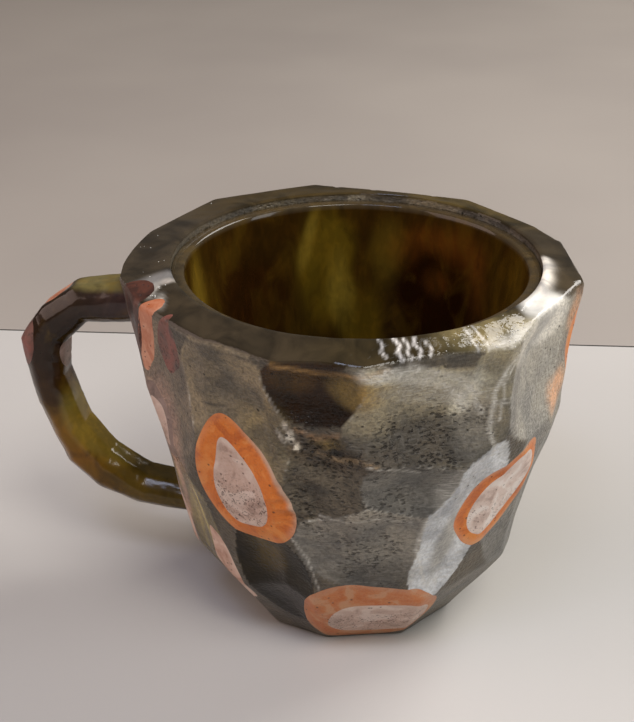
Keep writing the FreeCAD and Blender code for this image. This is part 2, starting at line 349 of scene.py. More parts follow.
def blur(grid: Array, passes: int) -> Array:
    """Soften a grid a little more with each pass; the second axis wraps round."""
    for _ in range(passes):
        rows = np.pad(grid, ((1, 1), (0, 0)), mode="edge")
        grid = (rows[:-2] + 2 * rows[1:-1] + rows[2:]) / 4
        grid = (np.roll(grid, 1, axis=1) + 2 * grid + np.roll(grid, -1, axis=1)) / 4
    return grid


@dataclass(frozen=True)
class Patch:
    """Oval patch on the mug's wall: where it is and how large."""

    bearing: float
    height: float
    half_width: float
    half_height: float
    roll: float = 0.0

    def share(self, bearing: Array, height: Array, radius: float = 48.0) -> Array:
        """How far out from the patch's middle each spot lies.

        Args:
            bearing: degrees, any shape.
            height: mm above the foot, the same shape.
            radius: mm from the mug's axis at which the patch is drawn.

        Returns:
            0 at the patch's middle and 1 on its edge.
        """
        right = np.radians(turn_between(bearing, self.bearing)) * radius
        up = height - self.height
        c, s = math.cos(math.radians(self.roll)), math.sin(math.radians(self.roll))
        across = (right * c + up * s) / self.half_width
        along = (-right * s + up * c) / self.half_height
        return np.hypot(across, along)


@dataclass(frozen=True)
class Scoop:
    """Shallow hollow that the grinding wheel left, with a crisp edge and its own finish.

    haze, grit and polish run from 0 to 1. fall is painted shade: it says how much darker the hollow gets
    downwards, and at 1 its tone halves from the middle to the lower edge.
    """

    patch: Patch
    depth: float
    tone: str = "#51493c"
    haze: float = 0.12
    grit: float = 0.30
    polish: float = 0.0
    # painted shade towards the hollow's lower edge
    fall: float = 0.25


@dataclass(frozen=True)
class Wash:
    """Oval tint that shows in the resin."""

    patch: Patch
    colour: str
    strength: float = 1.0
    softness: float = 0.35
    wander: float = 0.25

    def weight(self, bearing: Array, height: Array, noise: Array) -> Array:
        """How much of the tint shows at each spot.

        Args:
            bearing: degrees, any shape.
            height: mm above the foot, the same shape.
            noise: from -1 to 1, to make the edge wander.

        Returns:
            From 0 to the wash's strength.
        """
        out = self.patch.share(bearing, height) + self.wander * noise
        return self.strength * (1 - smooth(1 - self.softness, 1 + self.softness, out))


@dataclass(frozen=True)
class Streak:
    """Tint or frosting along a line on the wall, through (bearing, height) points."""

    RADIUS = 50.0  # mm from the mug's axis at which the line is drawn

    line: tuple[tuple[float, float], ...]
    half_width: float
    colour: str
    strength: float = 1.0

    def weight(self, bearing: Array, height: Array, noise: Array) -> Array:
        """How much of the streak shows at each spot.

        Args:
            bearing: degrees, any shape.
            height: mm above the foot, the same shape.
            noise: from -1 to 1, to vary the width.

        Returns:
            From 0 to the streak's strength.
        """
        nearest = np.full(bearing.shape, np.inf)
        for (bearing_0, height_0), (bearing_1, height_1) in zip(self.line, self.line[1:]):
            right = np.radians(turn_between(bearing, bearing_0)) * self.RADIUS
            up = height - height_0
            run_right = math.radians(turn_between(bearing_1, bearing_0)) * self.RADIUS
            run_up = height_1 - height_0
            along = (right * run_right + up * run_up) / (run_right**2 + run_up**2)
            along = np.clip(along, 0, 1)
            away = np.hypot(right - along * run_right, up - along * run_up)
            nearest = np.minimum(nearest, away)
        width = self.half_width * (1 + 0.5 * noise)
        return self.strength * np.exp(-((nearest / width) ** 2))


def bearing_of(points: Array) -> Array:
    """Bearing of points in degrees."""
    return np.degrees(np.arctan2(points[..., 1], points[..., 0])) % 360


@dataclass
class Wall:
    """Ground outer surface of the mug as a radius at each bearing and height.

    The frame's facets are read onto a grid, their edges are made to wander a little, and the
    wheel's hollows are taken out of them. The rim is read onto a grid of its own.
    """

    HANDLE_BEARING = 180.0
    NOISE_RADIUS = 45.0  # mm from the axis at which the wall's noise is drawn

    around: int = 540
    rows: int = 128
    lowest: float = 0.15  # mm above the foot of the grid's first row
    highest: float = 88.5  # and of its last
    reach: float = 80.0  # mm from the axis at which the rays start
    slope_start: float = 83.5  # mm above the foot where the rim's slope may begin
    wander_turn: float = 1.1  # degrees that a facet's edge strays
    wander_rise: float = 1.0  # mm that it strays up or down
    wear: float = 0.12  # mm lost all over to hand polishing
    ridge_width: float = 0.10  # mm of depth over which a ridge between hollows shows
    joint_half_turn: float = 8.5
    joint_heights: tuple[tuple[float, float], ...] = ((10.0, 31.0), (67.0, 89.0))
    mouth_radius: float = 43.4
    rim_steps: int = 24
    rim_inset: float = 0.3
    rim_reach: float = 12.6
    rim_fall: float = 0.6  # mm between two steps past which the ray has missed the rim
    scoops: tuple[Scoop, ...] = (
        Scoop(Patch(297, 72.5, 19, 13.2, -7), 3.1, "#6f6752", 0.14, 0.20, 0.0, 0.95),
        Scoop(Patch(245.5, 70, 13.5, 21, 10), 2.1, "#716650", 0.10, 0.08, 0.0, 0.2),
        Scoop(Patch(267, 80.5, 11.5, 8.5, -5), 2.5, "#211204", 0.0, 0.06, 0.3, 0.3),
        Scoop(Patch(313, 80, 6.5, 10, -12), 1.9, "#736b52", 0.20, 0.06, 0.1, 0.2),
        # Pale grey tone with frosting, partly a painted reflection of the window.
        Scoop(Patch(334, 76, 16, 17, -6), 2.8, "#7f7c74", 0.40, 0.10, 0.0, 0.7),
        Scoop(Patch(292.5, 55, 13.5, 8, -10), 2.3, "#4f4d48", 0.16, 0.12, 0.25, 0.55),
        Scoop(Patch(270.5, 55, 10, 14, 6), 1.7, "#50493d", 0.05, 0.75, 0.0, 0.2),
        Scoop(Patch(280, 38.5, 17, 13, -4), 2.5, "#69655d", 0.16, 0.18, 0.0, 1.1),
        Scoop(Patch(251.5, 25, 11, 17, 12), 2.2, "#1c1502", 0.0, 0.02, 0.7, 0.1),
        # Pale blue-grey tone with frosting, partly a painted reflection of the window.
        Scoop(Patch(308.5, 41, 9.5, 24, -16), 2.3, "#b4bbc6", 0.50, 0.08, 0.1, 0.2),
        Scoop(Patch(222, 70, 9, 17, 4), 1.2, "#655b4c", 0.10, 0.25),
        Scoop(Patch(221, 35, 9, 18, 12), 1.4, "#74683f", 0.08, 0.10, 0.5),
        Scoop(Patch(336, 40, 14, 21, 8), 1.6, "#5e5c57", 0.25, 0.20),
        Scoop(Patch(352, 70, 11, 17, 4), 1.5, "#6e685c", 0.30, 0.20),
        Scoop(Patch(2, 33, 17, 21, -8), 1.7, "#4d483f", 0.12, 0.25),
        Scoop(Patch(14, 69, 16, 20, -6), 1.7, "#5d584c", 0.22, 0.20),
        Scoop(Patch(30, 32, 16, 21, 6), 1.7, "#3e382d", 0.08, 0.35),
        Scoop(Patch(40, 70, 18, 20, 10), 2.0, "#6b675e", 0.28, 0.15),
        Scoop(Patch(58, 33, 17, 20, -12), 1.8, "#473f30", 0.08, 0.40),
        Scoop(Patch(69, 74, 17, 18, -4), 1.7, "#544b38", 0.14, 0.25),
        Scoop(Patch(86, 32, 17, 20, 6), 1.6, "#2f2719", 0.03, 0.15, 0.3),
        Scoop(Patch(97, 70, 18, 20, 8), 2.1, "#69614f", 0.20, 0.25),
        Scoop(Patch(113, 31, 16, 20, -6), 1.7, "#544d43", 0.14, 0.35),
        Scoop(Patch(126, 72, 17, 19, -8), 1.8, "#4b4333", 0.10, 0.30),
        Scoop(Patch(139, 31, 17, 20, 8), 1.7, "#2a2013", 0.02, 0.10, 0.4),
        Scoop(Patch(154, 66, 16, 21, 6), 1.9, "#625a48", 0.18, 0.25),
        Scoop(Patch(166, 30, 16, 19, -6), 1.6, "#4a4132", 0.10, 0.30),
        Scoop(Patch(180, 60, 13, 22, 0), 1.6, "#474034", 0.10, 0.45),
        Scoop(Patch(188, 24, 14, 18, 4), 1.4, "#40372a", 0.06, 0.30),
        Scoop(Patch(200, 56, 11, 24, 6), 1.3, "#5c5242", 0.12, 0.25),
    )

    def __post_init__(self) -> None:
        """Read the facets and the rim off the frame."""
        self.bearings = np.arange(self.around) * 360 / self.around
        self.cad_heights = np.linspace(self.lowest, self.highest, self.rows)
        tree = frame_tree([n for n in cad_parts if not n.startswith(("handle", "liner"))])
        self.cad = self._read(tree)
        self.rim = self._read_rim(tree)
        self.grain = Grain(7)

    def _read(self, tree: BVHTree) -> Array:
        """Read the frame's outer surface.

        Args:
            tree: the frame's nodes without the handle and the liner.

        Returns:
            Radius in mm on a grid of heights and bearings.
        """
        grid = np.empty((self.rows, self.around))
        for i, height in enumerate(self.cad_heights):
            for j, turn in enumerate(np.radians(self.bearings)):
                out = Vector((math.cos(turn), math.sin(turn), 0))
                start = out * (self.reach * MM) + Vector((0, 0, height * MM))
                hit = tree.ray_cast(start, -out)
                grid[i, j] = self.reach - hit[3] / MM if hit[0] else np.nan
        return blur(self._fill_top(self._bridge_joints(median_filter(grid))), 1)

    def _fill_top(self, grid: Array) -> Array:
        """Carry each facet on up past the rim's slope, so that the slope can cut it again."""
        heights = self.cad_heights
        edge = int(np.searchsorted(heights, self.slope_start))
        below = edge - 8
        rise = (grid[edge] - grid[below]) / (heights[edge] - heights[below])
        for row in range(edge + 1, self.rows):
            grid[row] = grid[edge] + rise * (heights[row] - heights[edge])
        return grid

    def _bridge_joints(self, grid: Array) -> Array:
        """Carry the wall straight across the two mortises that the handle's roots fill."""
        inside = np.abs(turn_between(self.bearings, self.HANDLE_BEARING)) < self.joint_half_turn
        outside = ~inside
        for height, row in zip(self.cad_heights, grid):
            if any(low < height < high for low, high in self.joint_heights):
                row[inside] = np.interp(self.bearings[inside], self.bearings[outside], row[outside])
        return grid

    def _read_rim(self, tree: BVHTree) -> Array:
        """Read the frame's rim, carried straight on past its outer edge.

        Args:
            tree: the frame's nodes without the handle and the liner.

        Returns:
            Height in mm on a grid of radii and bearings.
        """
        grid = np.empty((self.rim_steps, self.around))
        down = Vector((0, 0, -1))
        above = 100.0
        for j, turn in enumerate(np.radians(self.bearings)):
            for i in range(self.rim_steps):
                out = self.mouth_radius + self.rim_inset + self.rim_reach * i / (self.rim_steps - 1)
                start = Vector((math.cos(turn) * out * MM, math.sin(turn) * out * MM, above * MM))
                hit = tree.ray_cast(start, down)
                height = above - hit[3] / MM if hit[0] else 0.0
                if i > 1 and height < grid[i - 1, j] - self.rim_fall:
                    height = 2 * grid[i - 1, j] - grid[i - 2, j]
                grid[i, j] = height
        return blur(grid, 1)

    def _between(self, grid: Array, bearing: Array, row: Array) -> Array:
        """Value of a grid between its lines.

        Args:
            grid: values by row and bearing.
            bearing: degrees, any shape.
            row: place among the rows, whole or not, the same shape.

        Returns:
            The value that lies straight between the four nearest.
        """
        column = (bearing % 360) * self.around / 360
        left = np.floor(column).astype(int) % self.around
        right = (left + 1) % self.around
        across = column - np.floor(column)
        low = np.minimum(np.floor(row).astype(int), len(grid) - 2)
        up = row - low
        near = grid[low, left] * (1 - across) + grid[low, right] * across
        far = grid[low + 1, left] * (1 - across) + grid[low + 1, right] * across
        return near * (1 - up) + far * up

    def rim_height(self, bearing: Array, radius: Array) -> Array:
        """Height of the rim's surface at a bearing in degrees and a radius in mm."""
        last = self.rim_steps - 1
        row = (radius - self.mouth_radius - self.rim_inset) * last / self.rim_reach
        return self._between(self.rim, bearing, np.clip(row, 0, last))

    def sample(self, bearing: Array, height: Array) -> Array:
        """Radius of the frame's wall at a bearing in degrees and a height in mm."""
        row = np.interp(height, self.cad_heights, np.arange(self.rows))
        return self._between(self.cad, bearing, row)

    def ground(self, bearing: Array, height: Array) -> Array:
        """Radius of the ground surface, its facets made wavy and scooped.

        Args:
            bearing: degrees, any shape.
            height: mm above the foot, the same shape.

        Returns:
            Radius in mm.
        """
        spot = round_axis(self.NOISE_RADIUS, np.radians(bearing), height)
        side = self.grain.at(spot, 22.0, 2)
        rise = self.grain.at(spot + 200, 20.0, 2) * smooth(0, 12, height)
        lifted = np.clip(height + self.wander_rise * rise, self.lowest, self.highest)
        radius = self.sample(bearing + self.wander_turn * side, lifted)
        radius = radius - self.wear * np.abs(self.grain.at(spot, 9.0, 3))
        cut = self.hollows(bearing, height)[1]
        return radius - cut * smooth(0, 5, height) * (1 - 0.55 * smooth(82, 88, height))

    def hollows(self, bearing: Array, height: Array) -> tuple[Array, Array, Array]:
        """Deepest hollow at each spot.

        Args:
            bearing: degrees, any shape.
            height: mm above the foot, the same shape.

        Returns:
            The hollow's place in scoops or -1 where there's none, its depth in mm, and how
            sharp a ridge stands there, from 0 to 1.
        """
        spot = round_axis(self.NOISE_RADIUS, np.radians(bearing), height)
        wobble = 0.05 * self.grain.at(spot + 77, 7.0, 2)
        shares = [scoop.patch.share(bearing, height) + wobble for scoop in self.scoops]
        pairs = zip(self.scoops, shares)
        depths = np.stack([scoop.depth * (1 - share**2) for scoop, share in pairs])
        deepest, second = np.sort(depths, axis=0)[[-1, -2]]
        place = np.where(deepest > 0, np.argmax(depths, axis=0), -1)
        apart = np.abs(deepest - np.maximum(second, 0))
        ridge = np.exp(-((apart / self.ridge_width) ** 2)) * smooth(-0.1, 0.5, second)
        return place, np.maximum(deepest, 0), ridge

    def top(self, bearing: Array) -> Array:
        """Height at which the rim's slope meets the ground wall.

        Args:
            bearing: degrees, any shape.

        Returns:
            Height in mm, found by going back and forth between the two surfaces.
        """
        height = np.full(bearing.shape, 87.5)
        for _ in range(5):
            out = self.ground(bearing, np.minimum(height, self.highest))
            height = self.rim_height(bearing, out)
        return height


# Materials -----------------------------------------------------------------------------------


def add(
    tree: bpy.types.NodeTree,
    kind: str,
    inputs: dict[str | int, object] | None = None,
    **settings: object,
) -> bpy.types.Node:
    """Add a node with its settings, its values and its links.

    Args:
        tree: the node tree.
        kind: the node's type.
        inputs: what each input gets, by name or place: a socket to link, or a value.
        settings: the node's own properties.

    Returns:
        The new node.
    """
    made = tree.nodes.new(kind)
    for name, value in settings.items():
        setattr(made, name, value)
    for key, value in (inputs or {}).items():
        if isinstance(value, bpy.types.NodeSocket):
            tree.links.new(value, made.inputs[key])
        else:
            made.inputs[key].default_value = value
    return made


MIX_A, MIX_B, MIX_OUT = 6, 7, 2  # the colour sockets of a Mix node
Socket = bpy.types.NodeSocket
Value = Socket | float | tuple[float, ...]


class Dresser:
    """Builds one material's nodes step by step."""

    def __init__(self, name: str) -> None:
        """Start an empty material with Object coordinates in metres."""
        self.material = bpy.data.materials.new(name)
        self.material.use_nodes = True
        self.tree = self.material.node_tree
        self.tree.nodes.clear()
        self.place = add(self.tree, "ShaderNodeTexCoord").outputs["Object"]

    def number(self, name: str) -> Socket:
        """Number that the mesh stores under a name."""
        return add(self.tree, "ShaderNodeAttribute", attribute_name=name).outputs["Fac"]

    def colour(self, name: str) -> Socket:
        """Colour that the mesh stores under a name."""
        return add(self.tree, "ShaderNodeAttribute", attribute_name=name).outputs["Color"]

    def stretched(self, x: float, y: float, z: float, turn: float = 0.0) -> Socket:
        """Object coordinates scaled along each axis and turned about Z by degrees."""
        inputs = {"Vector": self.place, "Scale": (x, y, z), "Rotation": (0, 0, math.radians(turn))}
        return add(self.tree, "ShaderNodeMapping", inputs).outputs["Vector"]

    def noise(
        self, size: float, place: Socket | None = None, detail: float = 4, warp: float = 0.0
    ) -> Socket:
        """Cloudy noise.

        Args:
            size: size in mm of the largest feature.
            place: coordinates to read, or None for the object's own.
            detail: how many octaves are added.
            warp: how far the noise is dragged by itself.

        Returns:
            A number from 0 to 1.
        """
        inputs = {"Vector": place or self.place, "Scale": per_metre(size)}
        inputs |= {"Detail": detail, "Distortion": warp}
        return add(self.tree, "ShaderNodeTexNoise", inputs).outputs["Fac"]

    def cells(self, size: float, place: Socket | None = None) -> Socket:
        """Distance to the nearest of many scattered points, so many mm apart."""
        inputs = {"Vector": place or self.place, "Scale": per_metre(size)}
        return add(self.tree, "ShaderNodeTexVoronoi", inputs).outputs["Distance"]

    def ramp(
        self, value: Socket, low: float, high: float, to: tuple[float, float] = (0, 1)
    ) -> Socket:
        """Carry a number smoothly from one range to another.

        Args:
            value: the number.
            low: where it starts to count. It may be the greater of the two.
            high: where it counts in full.
            to: what comes out at low and at high.

        Returns:
            The new number.
        """
        inputs = {"Value": value, "From Min": low, "From Max": high}
        inputs |= {"To Min": to[0], "To Max": to[1]}
        made = add(self.tree, "ShaderNodeMapRange", inputs, interpolation_type="SMOOTHSTEP")
        return made.outputs["Result"]

    def sum(self, kind: str, first: Value, second: Value) -> Socket:
        """Two numbers put together, by the Math node's name for how."""
        made = add(self.tree, "ShaderNodeMath", {0: first, 1: second}, operation=kind)
        return made.outputs[0]

    def mix(self, share: Value, first: Value, second: Value, blend: str = "MIX") -> Socket:
        """Two colours mixed, with this share of the second, by the Mix node's name for how."""
        inputs = {0: share, MIX_A: first, MIX_B: second}
        made = add(self.tree, "ShaderNodeMix", inputs, data_type="RGBA", blend_type=blend)
        return made.outputs[MIX_OUT]

    def bump(self, height: Socket, depth: float, before: Socket | None = None) -> Socket:
        """Push the normal by a height.

        Args:
            height: from 0 to 1.
            depth: mm that the whole range stands for.
            before: the normal so far, or None for the mesh's own.

        Returns:
            The new normal.
        """
        inputs = {"Height": height, "Distance": depth * MM, "Strength": 1.0}
        if before is not None:
            inputs["Normal"] = before
        return add(self.tree, "ShaderNodeBump", inputs).outputs["Normal"]

    def finish(self, inputs: dict[str, Value]) -> bpy.types.Material:
        """Close the material with one shader that gets these inputs."""
        shader = add(self.tree, "ShaderNodeBsdfPrincipled", inputs)
        add(self.tree, "ShaderNodeOutputMaterial", {"Surface": shader.outputs["BSDF"]})
        return self.material


@dataclass(frozen=True)
class GroundResin:
    """Smoky polyester casting resin, ground on a coarse wheel and half polished.

    The eye sees a dark glassy body under a haze of fine scratches, with pits where small bubbles
    were ground open, and clean gloss where it was polished. The scratches and pits are drawn
    about three times as coarse as they are, so that they show. The mesh says where the haze, the
    grit and the polish lie, from 0 to 1.
    """

    name: str = "smoky_casting_resin_ground"
    frost: str = "#d6d2c8"
    pit: str = "#17120c"
    cloud_size: float = 9.0
    speckle_size: float = 0.8
    scratch_size: float = 0.7
    cross_scratch_size: float = 1.1
    dent_size: float = 1.7
    bubble_spacing: float = 2.6
    specular: float = 0.24
    ior: float = 1.54

    def material(self) -> bpy.types.Material:
        """Build the material."""
        d = Dresser(self.name)
        haze, grit, polish = d.number("haze"), d.number("grit"), d.number("polish")
        ground = d.sum("SUBTRACT", 1.0, polish)
        clouds = d.ramp(d.noise(self.cloud_size, detail=7, warp=0.8), 0.30, 0.70)
        cloudy = d.mix(clouds, (0.55, 0.55, 0.57, 1), (1.50, 1.44, 1.34, 1))
        body = d.mix(1.0, d.colour("tone"), cloudy, "MULTIPLY")
        speckle = d.ramp(d.noise(self.speckle_size, detail=4), 0.32, 0.68)
        grainy = d.mix(speckle, (0.78, 0.78, 0.78, 1), (1.24, 1.24, 1.24, 1))
        body = d.mix(ground, body, d.mix(1.0, body, grainy, "MULTIPLY"))

        brushed = d.noise(self.scratch_size, d.stretched(0.25, 0.25, 1.6, 20), 5)
        crossed = d.noise(self.cross_scratch_size, d.stretched(0.5, 1.3, 0.35, -35), 5)
        scratch = d.sum("MAXIMUM", d.ramp(brushed, 0.42, 0.72), d.ramp(crossed, 0.50, 0.74))
        veil = d.sum("MULTIPLY", haze, d.ramp(scratch, 0.0, 1.0, (0.50, 1.0)))
        body = d.mix(veil, body, linear(self.frost))

        worm = d.noise(self.dent_size, d.stretched(1.0, 1.0, 1.7), 4, 1.4)
        flakes = d.cells(self.dent_size, d.stretched(1.0, 1.0, 1.8))
        dented = d.sum("MAXIMUM", d.ramp(flakes, 0.40, 0.16), d.ramp(worm, 0.56, 0.70))
        patchy = d.ramp(d.noise(self.cloud_size, detail=3), 0.40, 0.58, (0.25, 1.0))
        dents = d.sum("MULTIPLY", d.sum("MULTIPLY", dented, patchy), grit)
        spread = d.ramp(d.noise(14.0, detail=2), 0.50, 0.62)
        bubbles = d.sum("MULTIPLY", d.ramp(d.cells(self.bubble_spacing), 0.15, 0.09), spread)
        holes = d.sum("MULTIPLY", bubbles, ground)
        dark = d.sum("MAXIMUM", d.sum("MULTIPLY", dents, 0.75), d.sum("MULTIPLY", holes, 0.8))
        body = d.mix(dark, body, linear(self.pit))

        gloss = d.ramp(polish, 0.0, 1.0, (0.33, 0.05))
        rough = d.sum("ADD", gloss, d.sum("MULTIPLY", haze, 0.25))
        rough = d.sum("ADD", rough, d.ramp(scratch, 0.0, 1.0, (-0.03, 0.05)))
        normal = d.bump(d.noise(3.2, detail=3), 0.16)
        normal = d.bump(d.sum("MULTIPLY", speckle, ground), 0.10, normal)
        normal = d.bump(d.sum("MULTIPLY", scratch, ground), 0.04, normal)
        normal = d.bump(d.sum("SUBTRACT", 1.0, dark), 0.5, normal)
        inputs = {"Base Color": body, "Roughness": rough, "Normal": normal}
        return d.finish(inputs | {"IOR": self.ior, "Specular IOR Level": self.specular})


@dataclass(frozen=True)
class PolishedResin:
    """Amber and olive casting resin, polished to a gloss.

    The eye sees swirls of pigment deep in it and mirror-like lights on top.
    """

    name: str
    swirl_size: float
    swirl_stretch: float
    light: str
    dark: str
    roughness: float = 0.08
    ripple: float = 0.05
    specular: float = 0.3
    ior: float = 1.54

    def material(self) -> bpy.types.Material:
        """Build the material."""
        d = Dresser(self.name)
        drawn = d.stretched(1.0, 1.0, self.swirl_stretch)
        swirl = d.noise(self.swirl_size, drawn, 6, 1.2)
        fine = d.noise(self.swirl_size * 0.3, drawn, 4, 0.6)
        body = d.mix(d.ramp(swirl, 0.46, 0.74, (0, 0.34)), d.colour("tone"), linear(self.light))
        body = d.mix(d.ramp(swirl, 0.52, 0.28, (0, 0.45)), body, linear(self.dark))
        lit = d.mix(1.0, body, (1.6, 1.5, 1.3, 1), "MULTIPLY")
        body = d.mix(d.ramp(fine, 0.40, 0.70, (0, 0.5)), body, lit)
        rough = d.ramp(d.noise(6.0), 0.3, 0.7, (self.roughness, self.roughness + 0.07))
        normal = d.bump(d.noise(7.0, detail=2), self.ripple)
        inputs = {"Base Color": body, "Roughness": rough, "Normal": normal}
        return d.finish(inputs | {"IOR": self.ior, "Specular IOR Level": self.specular})


@dataclass(frozen=True)
class Stone:
    """Natural pebble, sawn and honed flush with the resin.

    The eye sees a matt face with mottled colour, and pores that the honing opened.
    """

    name: str
    colours: tuple[str, str, str]  # the body's own, its pale patches and its dark ones
    pore: str
    edge: str
    mottle: float
    pore_size: float
    pore_share: float
    roughness: float = 0.42

    def material(self) -> bpy.types.Material:
        """Build the material."""
        d = Dresser(self.name)
        edge, porous = d.number("edge"), d.number("porous")
        base, light, dark = (linear(colour) for colour in self.colours)
        mottle = d.noise(self.mottle, detail=6, warp=0.8)
        body = d.mix(d.ramp(mottle, 0.49, 0.62), base, light)
        body = d.mix(d.ramp(mottle, 0.47, 0.36), body, dark)
        body = d.mix(d.ramp(d.noise(0.6, detail=2), 0.35, 0.7, (0, 0.25)), body, light)
        body = d.mix(edge, body, linear(self.edge))
        worm = d.noise(self.pore_size, detail=3, warp=1.5)
        pores = d.sum("MULTIPLY", d.ramp(worm, 0.56, 0.68), porous)
        pits = d.ramp(d.cells(self.pore_size * 3), 0.16, 0.08)
        holes = d.sum("MAXIMUM", d.sum("MULTIPLY", pores, self.pore_share), d.sum("MULTIPLY", pits, 0.7))
        body = d.mix(holes, body, linear(self.pore))
        normal = d.bump(d.noise(1.2, detail=4), 0.05)
        normal = d.bump(d.sum("SUBTRACT", 1.0, holes), 0.18, normal)
        rough = d.ramp(mottle, 0.3, 0.7, (self.roughness, self.roughness + 0.14))
        return d.finish({"Base Color": body, "Roughness": rough, "Normal": normal})


@dataclass(frozen=True)
class Plaster:
    """Painted plaster or board: matt, very slightly mottled."""

    name: str
    light: str
    dark: str
    mottle: float = 260.0
    tooth: float = 2.5
    roughness: float = 0.7

    def material(self) -> bpy.types.Material:
        """Build the material."""
        d = Dresser(self.name)
        patches = d.ramp(d.noise(self.mottle, detail=3), 0.3, 0.7)
        body = d.mix(patches, linear(self.dark), linear(self.light))
        normal = d.bump(d.noise(self.tooth), 0.03)
        return d.finish({"Base Color": body, "Roughness": self.roughness, "Normal": normal})


class Finishes:
    """Every finish of the mug, each built once when it is first asked for."""

    PARTS: dict[str, "GroundResin | PolishedResin | Stone | Plaster"] = {
        "body": GroundResin(),
        # Polyester resin cast against a smooth former: deep olive-brown with slow clouds.
        "liner": PolishedResin(
            "olive_resin_liner", 8.0, 0.5, "#584210", "#1c1104", roughness=0.06, ripple=0.04
        ),
        # The same resin with amber dye, ground and then buffed: a soft gloss over facets. The bright amber
        # of the lower arm's tone is painted glow.
        "handle": PolishedResin(
            "amber_resin_polished", 9.0, 0.8, "#74590f", "#241609", roughness=0.12, ripple=0.12
        ),
        # Trapped air under the polish, drawn coarser than it is: each bubble is a matt pale bead that also
        # paints a glint of light.
        "bead": Plaster("rim_bubble_painted_glint", "#e9e8e4", "#cfcdc6"),
        # Iron-stained chert, honed: warm orange, a little darker and paler in patches.
        "orange": Stone(
            "orange_chert_rind", ("#d4721f", "#dd8a42", "#bd5c12"), "#4a250f", "#c8a68e",
            mottle=5.0, pore_size=0.8, pore_share=0.7,
        ),
        # The same chert with more clay in it: browner and duller.
        "brown_rind": Stone(
            "brown_chert_rind", ("#bf7038", "#c48f68", "#b8601c"), "#452614", "#b49078",
            mottle=5.0, pore_size=0.8, pore_share=0.7,
        ),
        # Welded tuff, honed: dusty pink with dark open pores.
        "core": Stone(
            "pink_tuff_core", ("#c2a494", "#d6c1b4", "#a68879"), "#5c453c", "#d2bcae",
            mottle=6.0, pore_size=0.75, pore_share=0.9,
        ),
        # A cleaner bed of the same tuff: nearly white.
        "core_light": Stone(
            "white_tuff_core", ("#dac4b8", "#ece0d8", "#b99d90"), "#765c52", "#e0cdc2",
            mottle=6.0, pore_size=0.75, pore_share=0.7,
        ),
        # Jasper, polished: dense and dark, plum to black-brown.
        "plum": Stone(
            "plum_jasper", ("#3e251e", "#563024", "#291814"), "#150c09", "#553a30",
            mottle=5.0, pore_size=0.7, pore_share=0.6, roughness=0.34,
        ),
        # Jasper with little iron: flat peach.
        "peach": Stone(
            "peach_jasper", ("#b5704f", "#c99174", "#ab5c33"), "#50301f", "#b98a72",
            mottle=6.0, pore_size=0.7, pore_share=0.4, roughness=0.36,
        ),
        # Jasper with almost no iron: pale pink.
        "pale_pink": Stone(
            "pale_pink_jasper", ("#c5a08c", "#d8bcab", "#a97c66"), "#6a4738", "#d0b3a2",
            mottle=6.0, pore_size=0.7, pore_share=0.3, roughness=0.36,
        ),
        # Jasper broken up by weather: russet, with large black pores.
        "russet": Stone(
            "russet_jasper", ("#6a4338", "#7d4a40", "#47302a"), "#1d1310", "#5b4034",
            mottle=5.0, pore_size=1.1, pore_share=1.0, roughness=0.36,
        ),
        # Unwelded tuff, honed: chalky, grey with a cast of pink.
        "pink_grey": Stone(
            "pink_grey_tuff", ("#806a60", "#968078", "#64524a"), "#43332d", "#8a766a",
            mottle=5.0, pore_size=0.8, pore_share=0.6, roughness=0.46,
        ),
    }

    def __init__(self) -> None:
        """Start with nothing built."""
        self.built: dict[str, bpy.types.Material] = {}

    def get(self, name: str) -> bpy.types.Material:
        """Material of a finish by its short name."""
        if name not in self.built:
            self.built[name] = self.PARTS[name].material()
        return self.built[name]


# Sub-assemblies ------------------------------------------------------------------------------


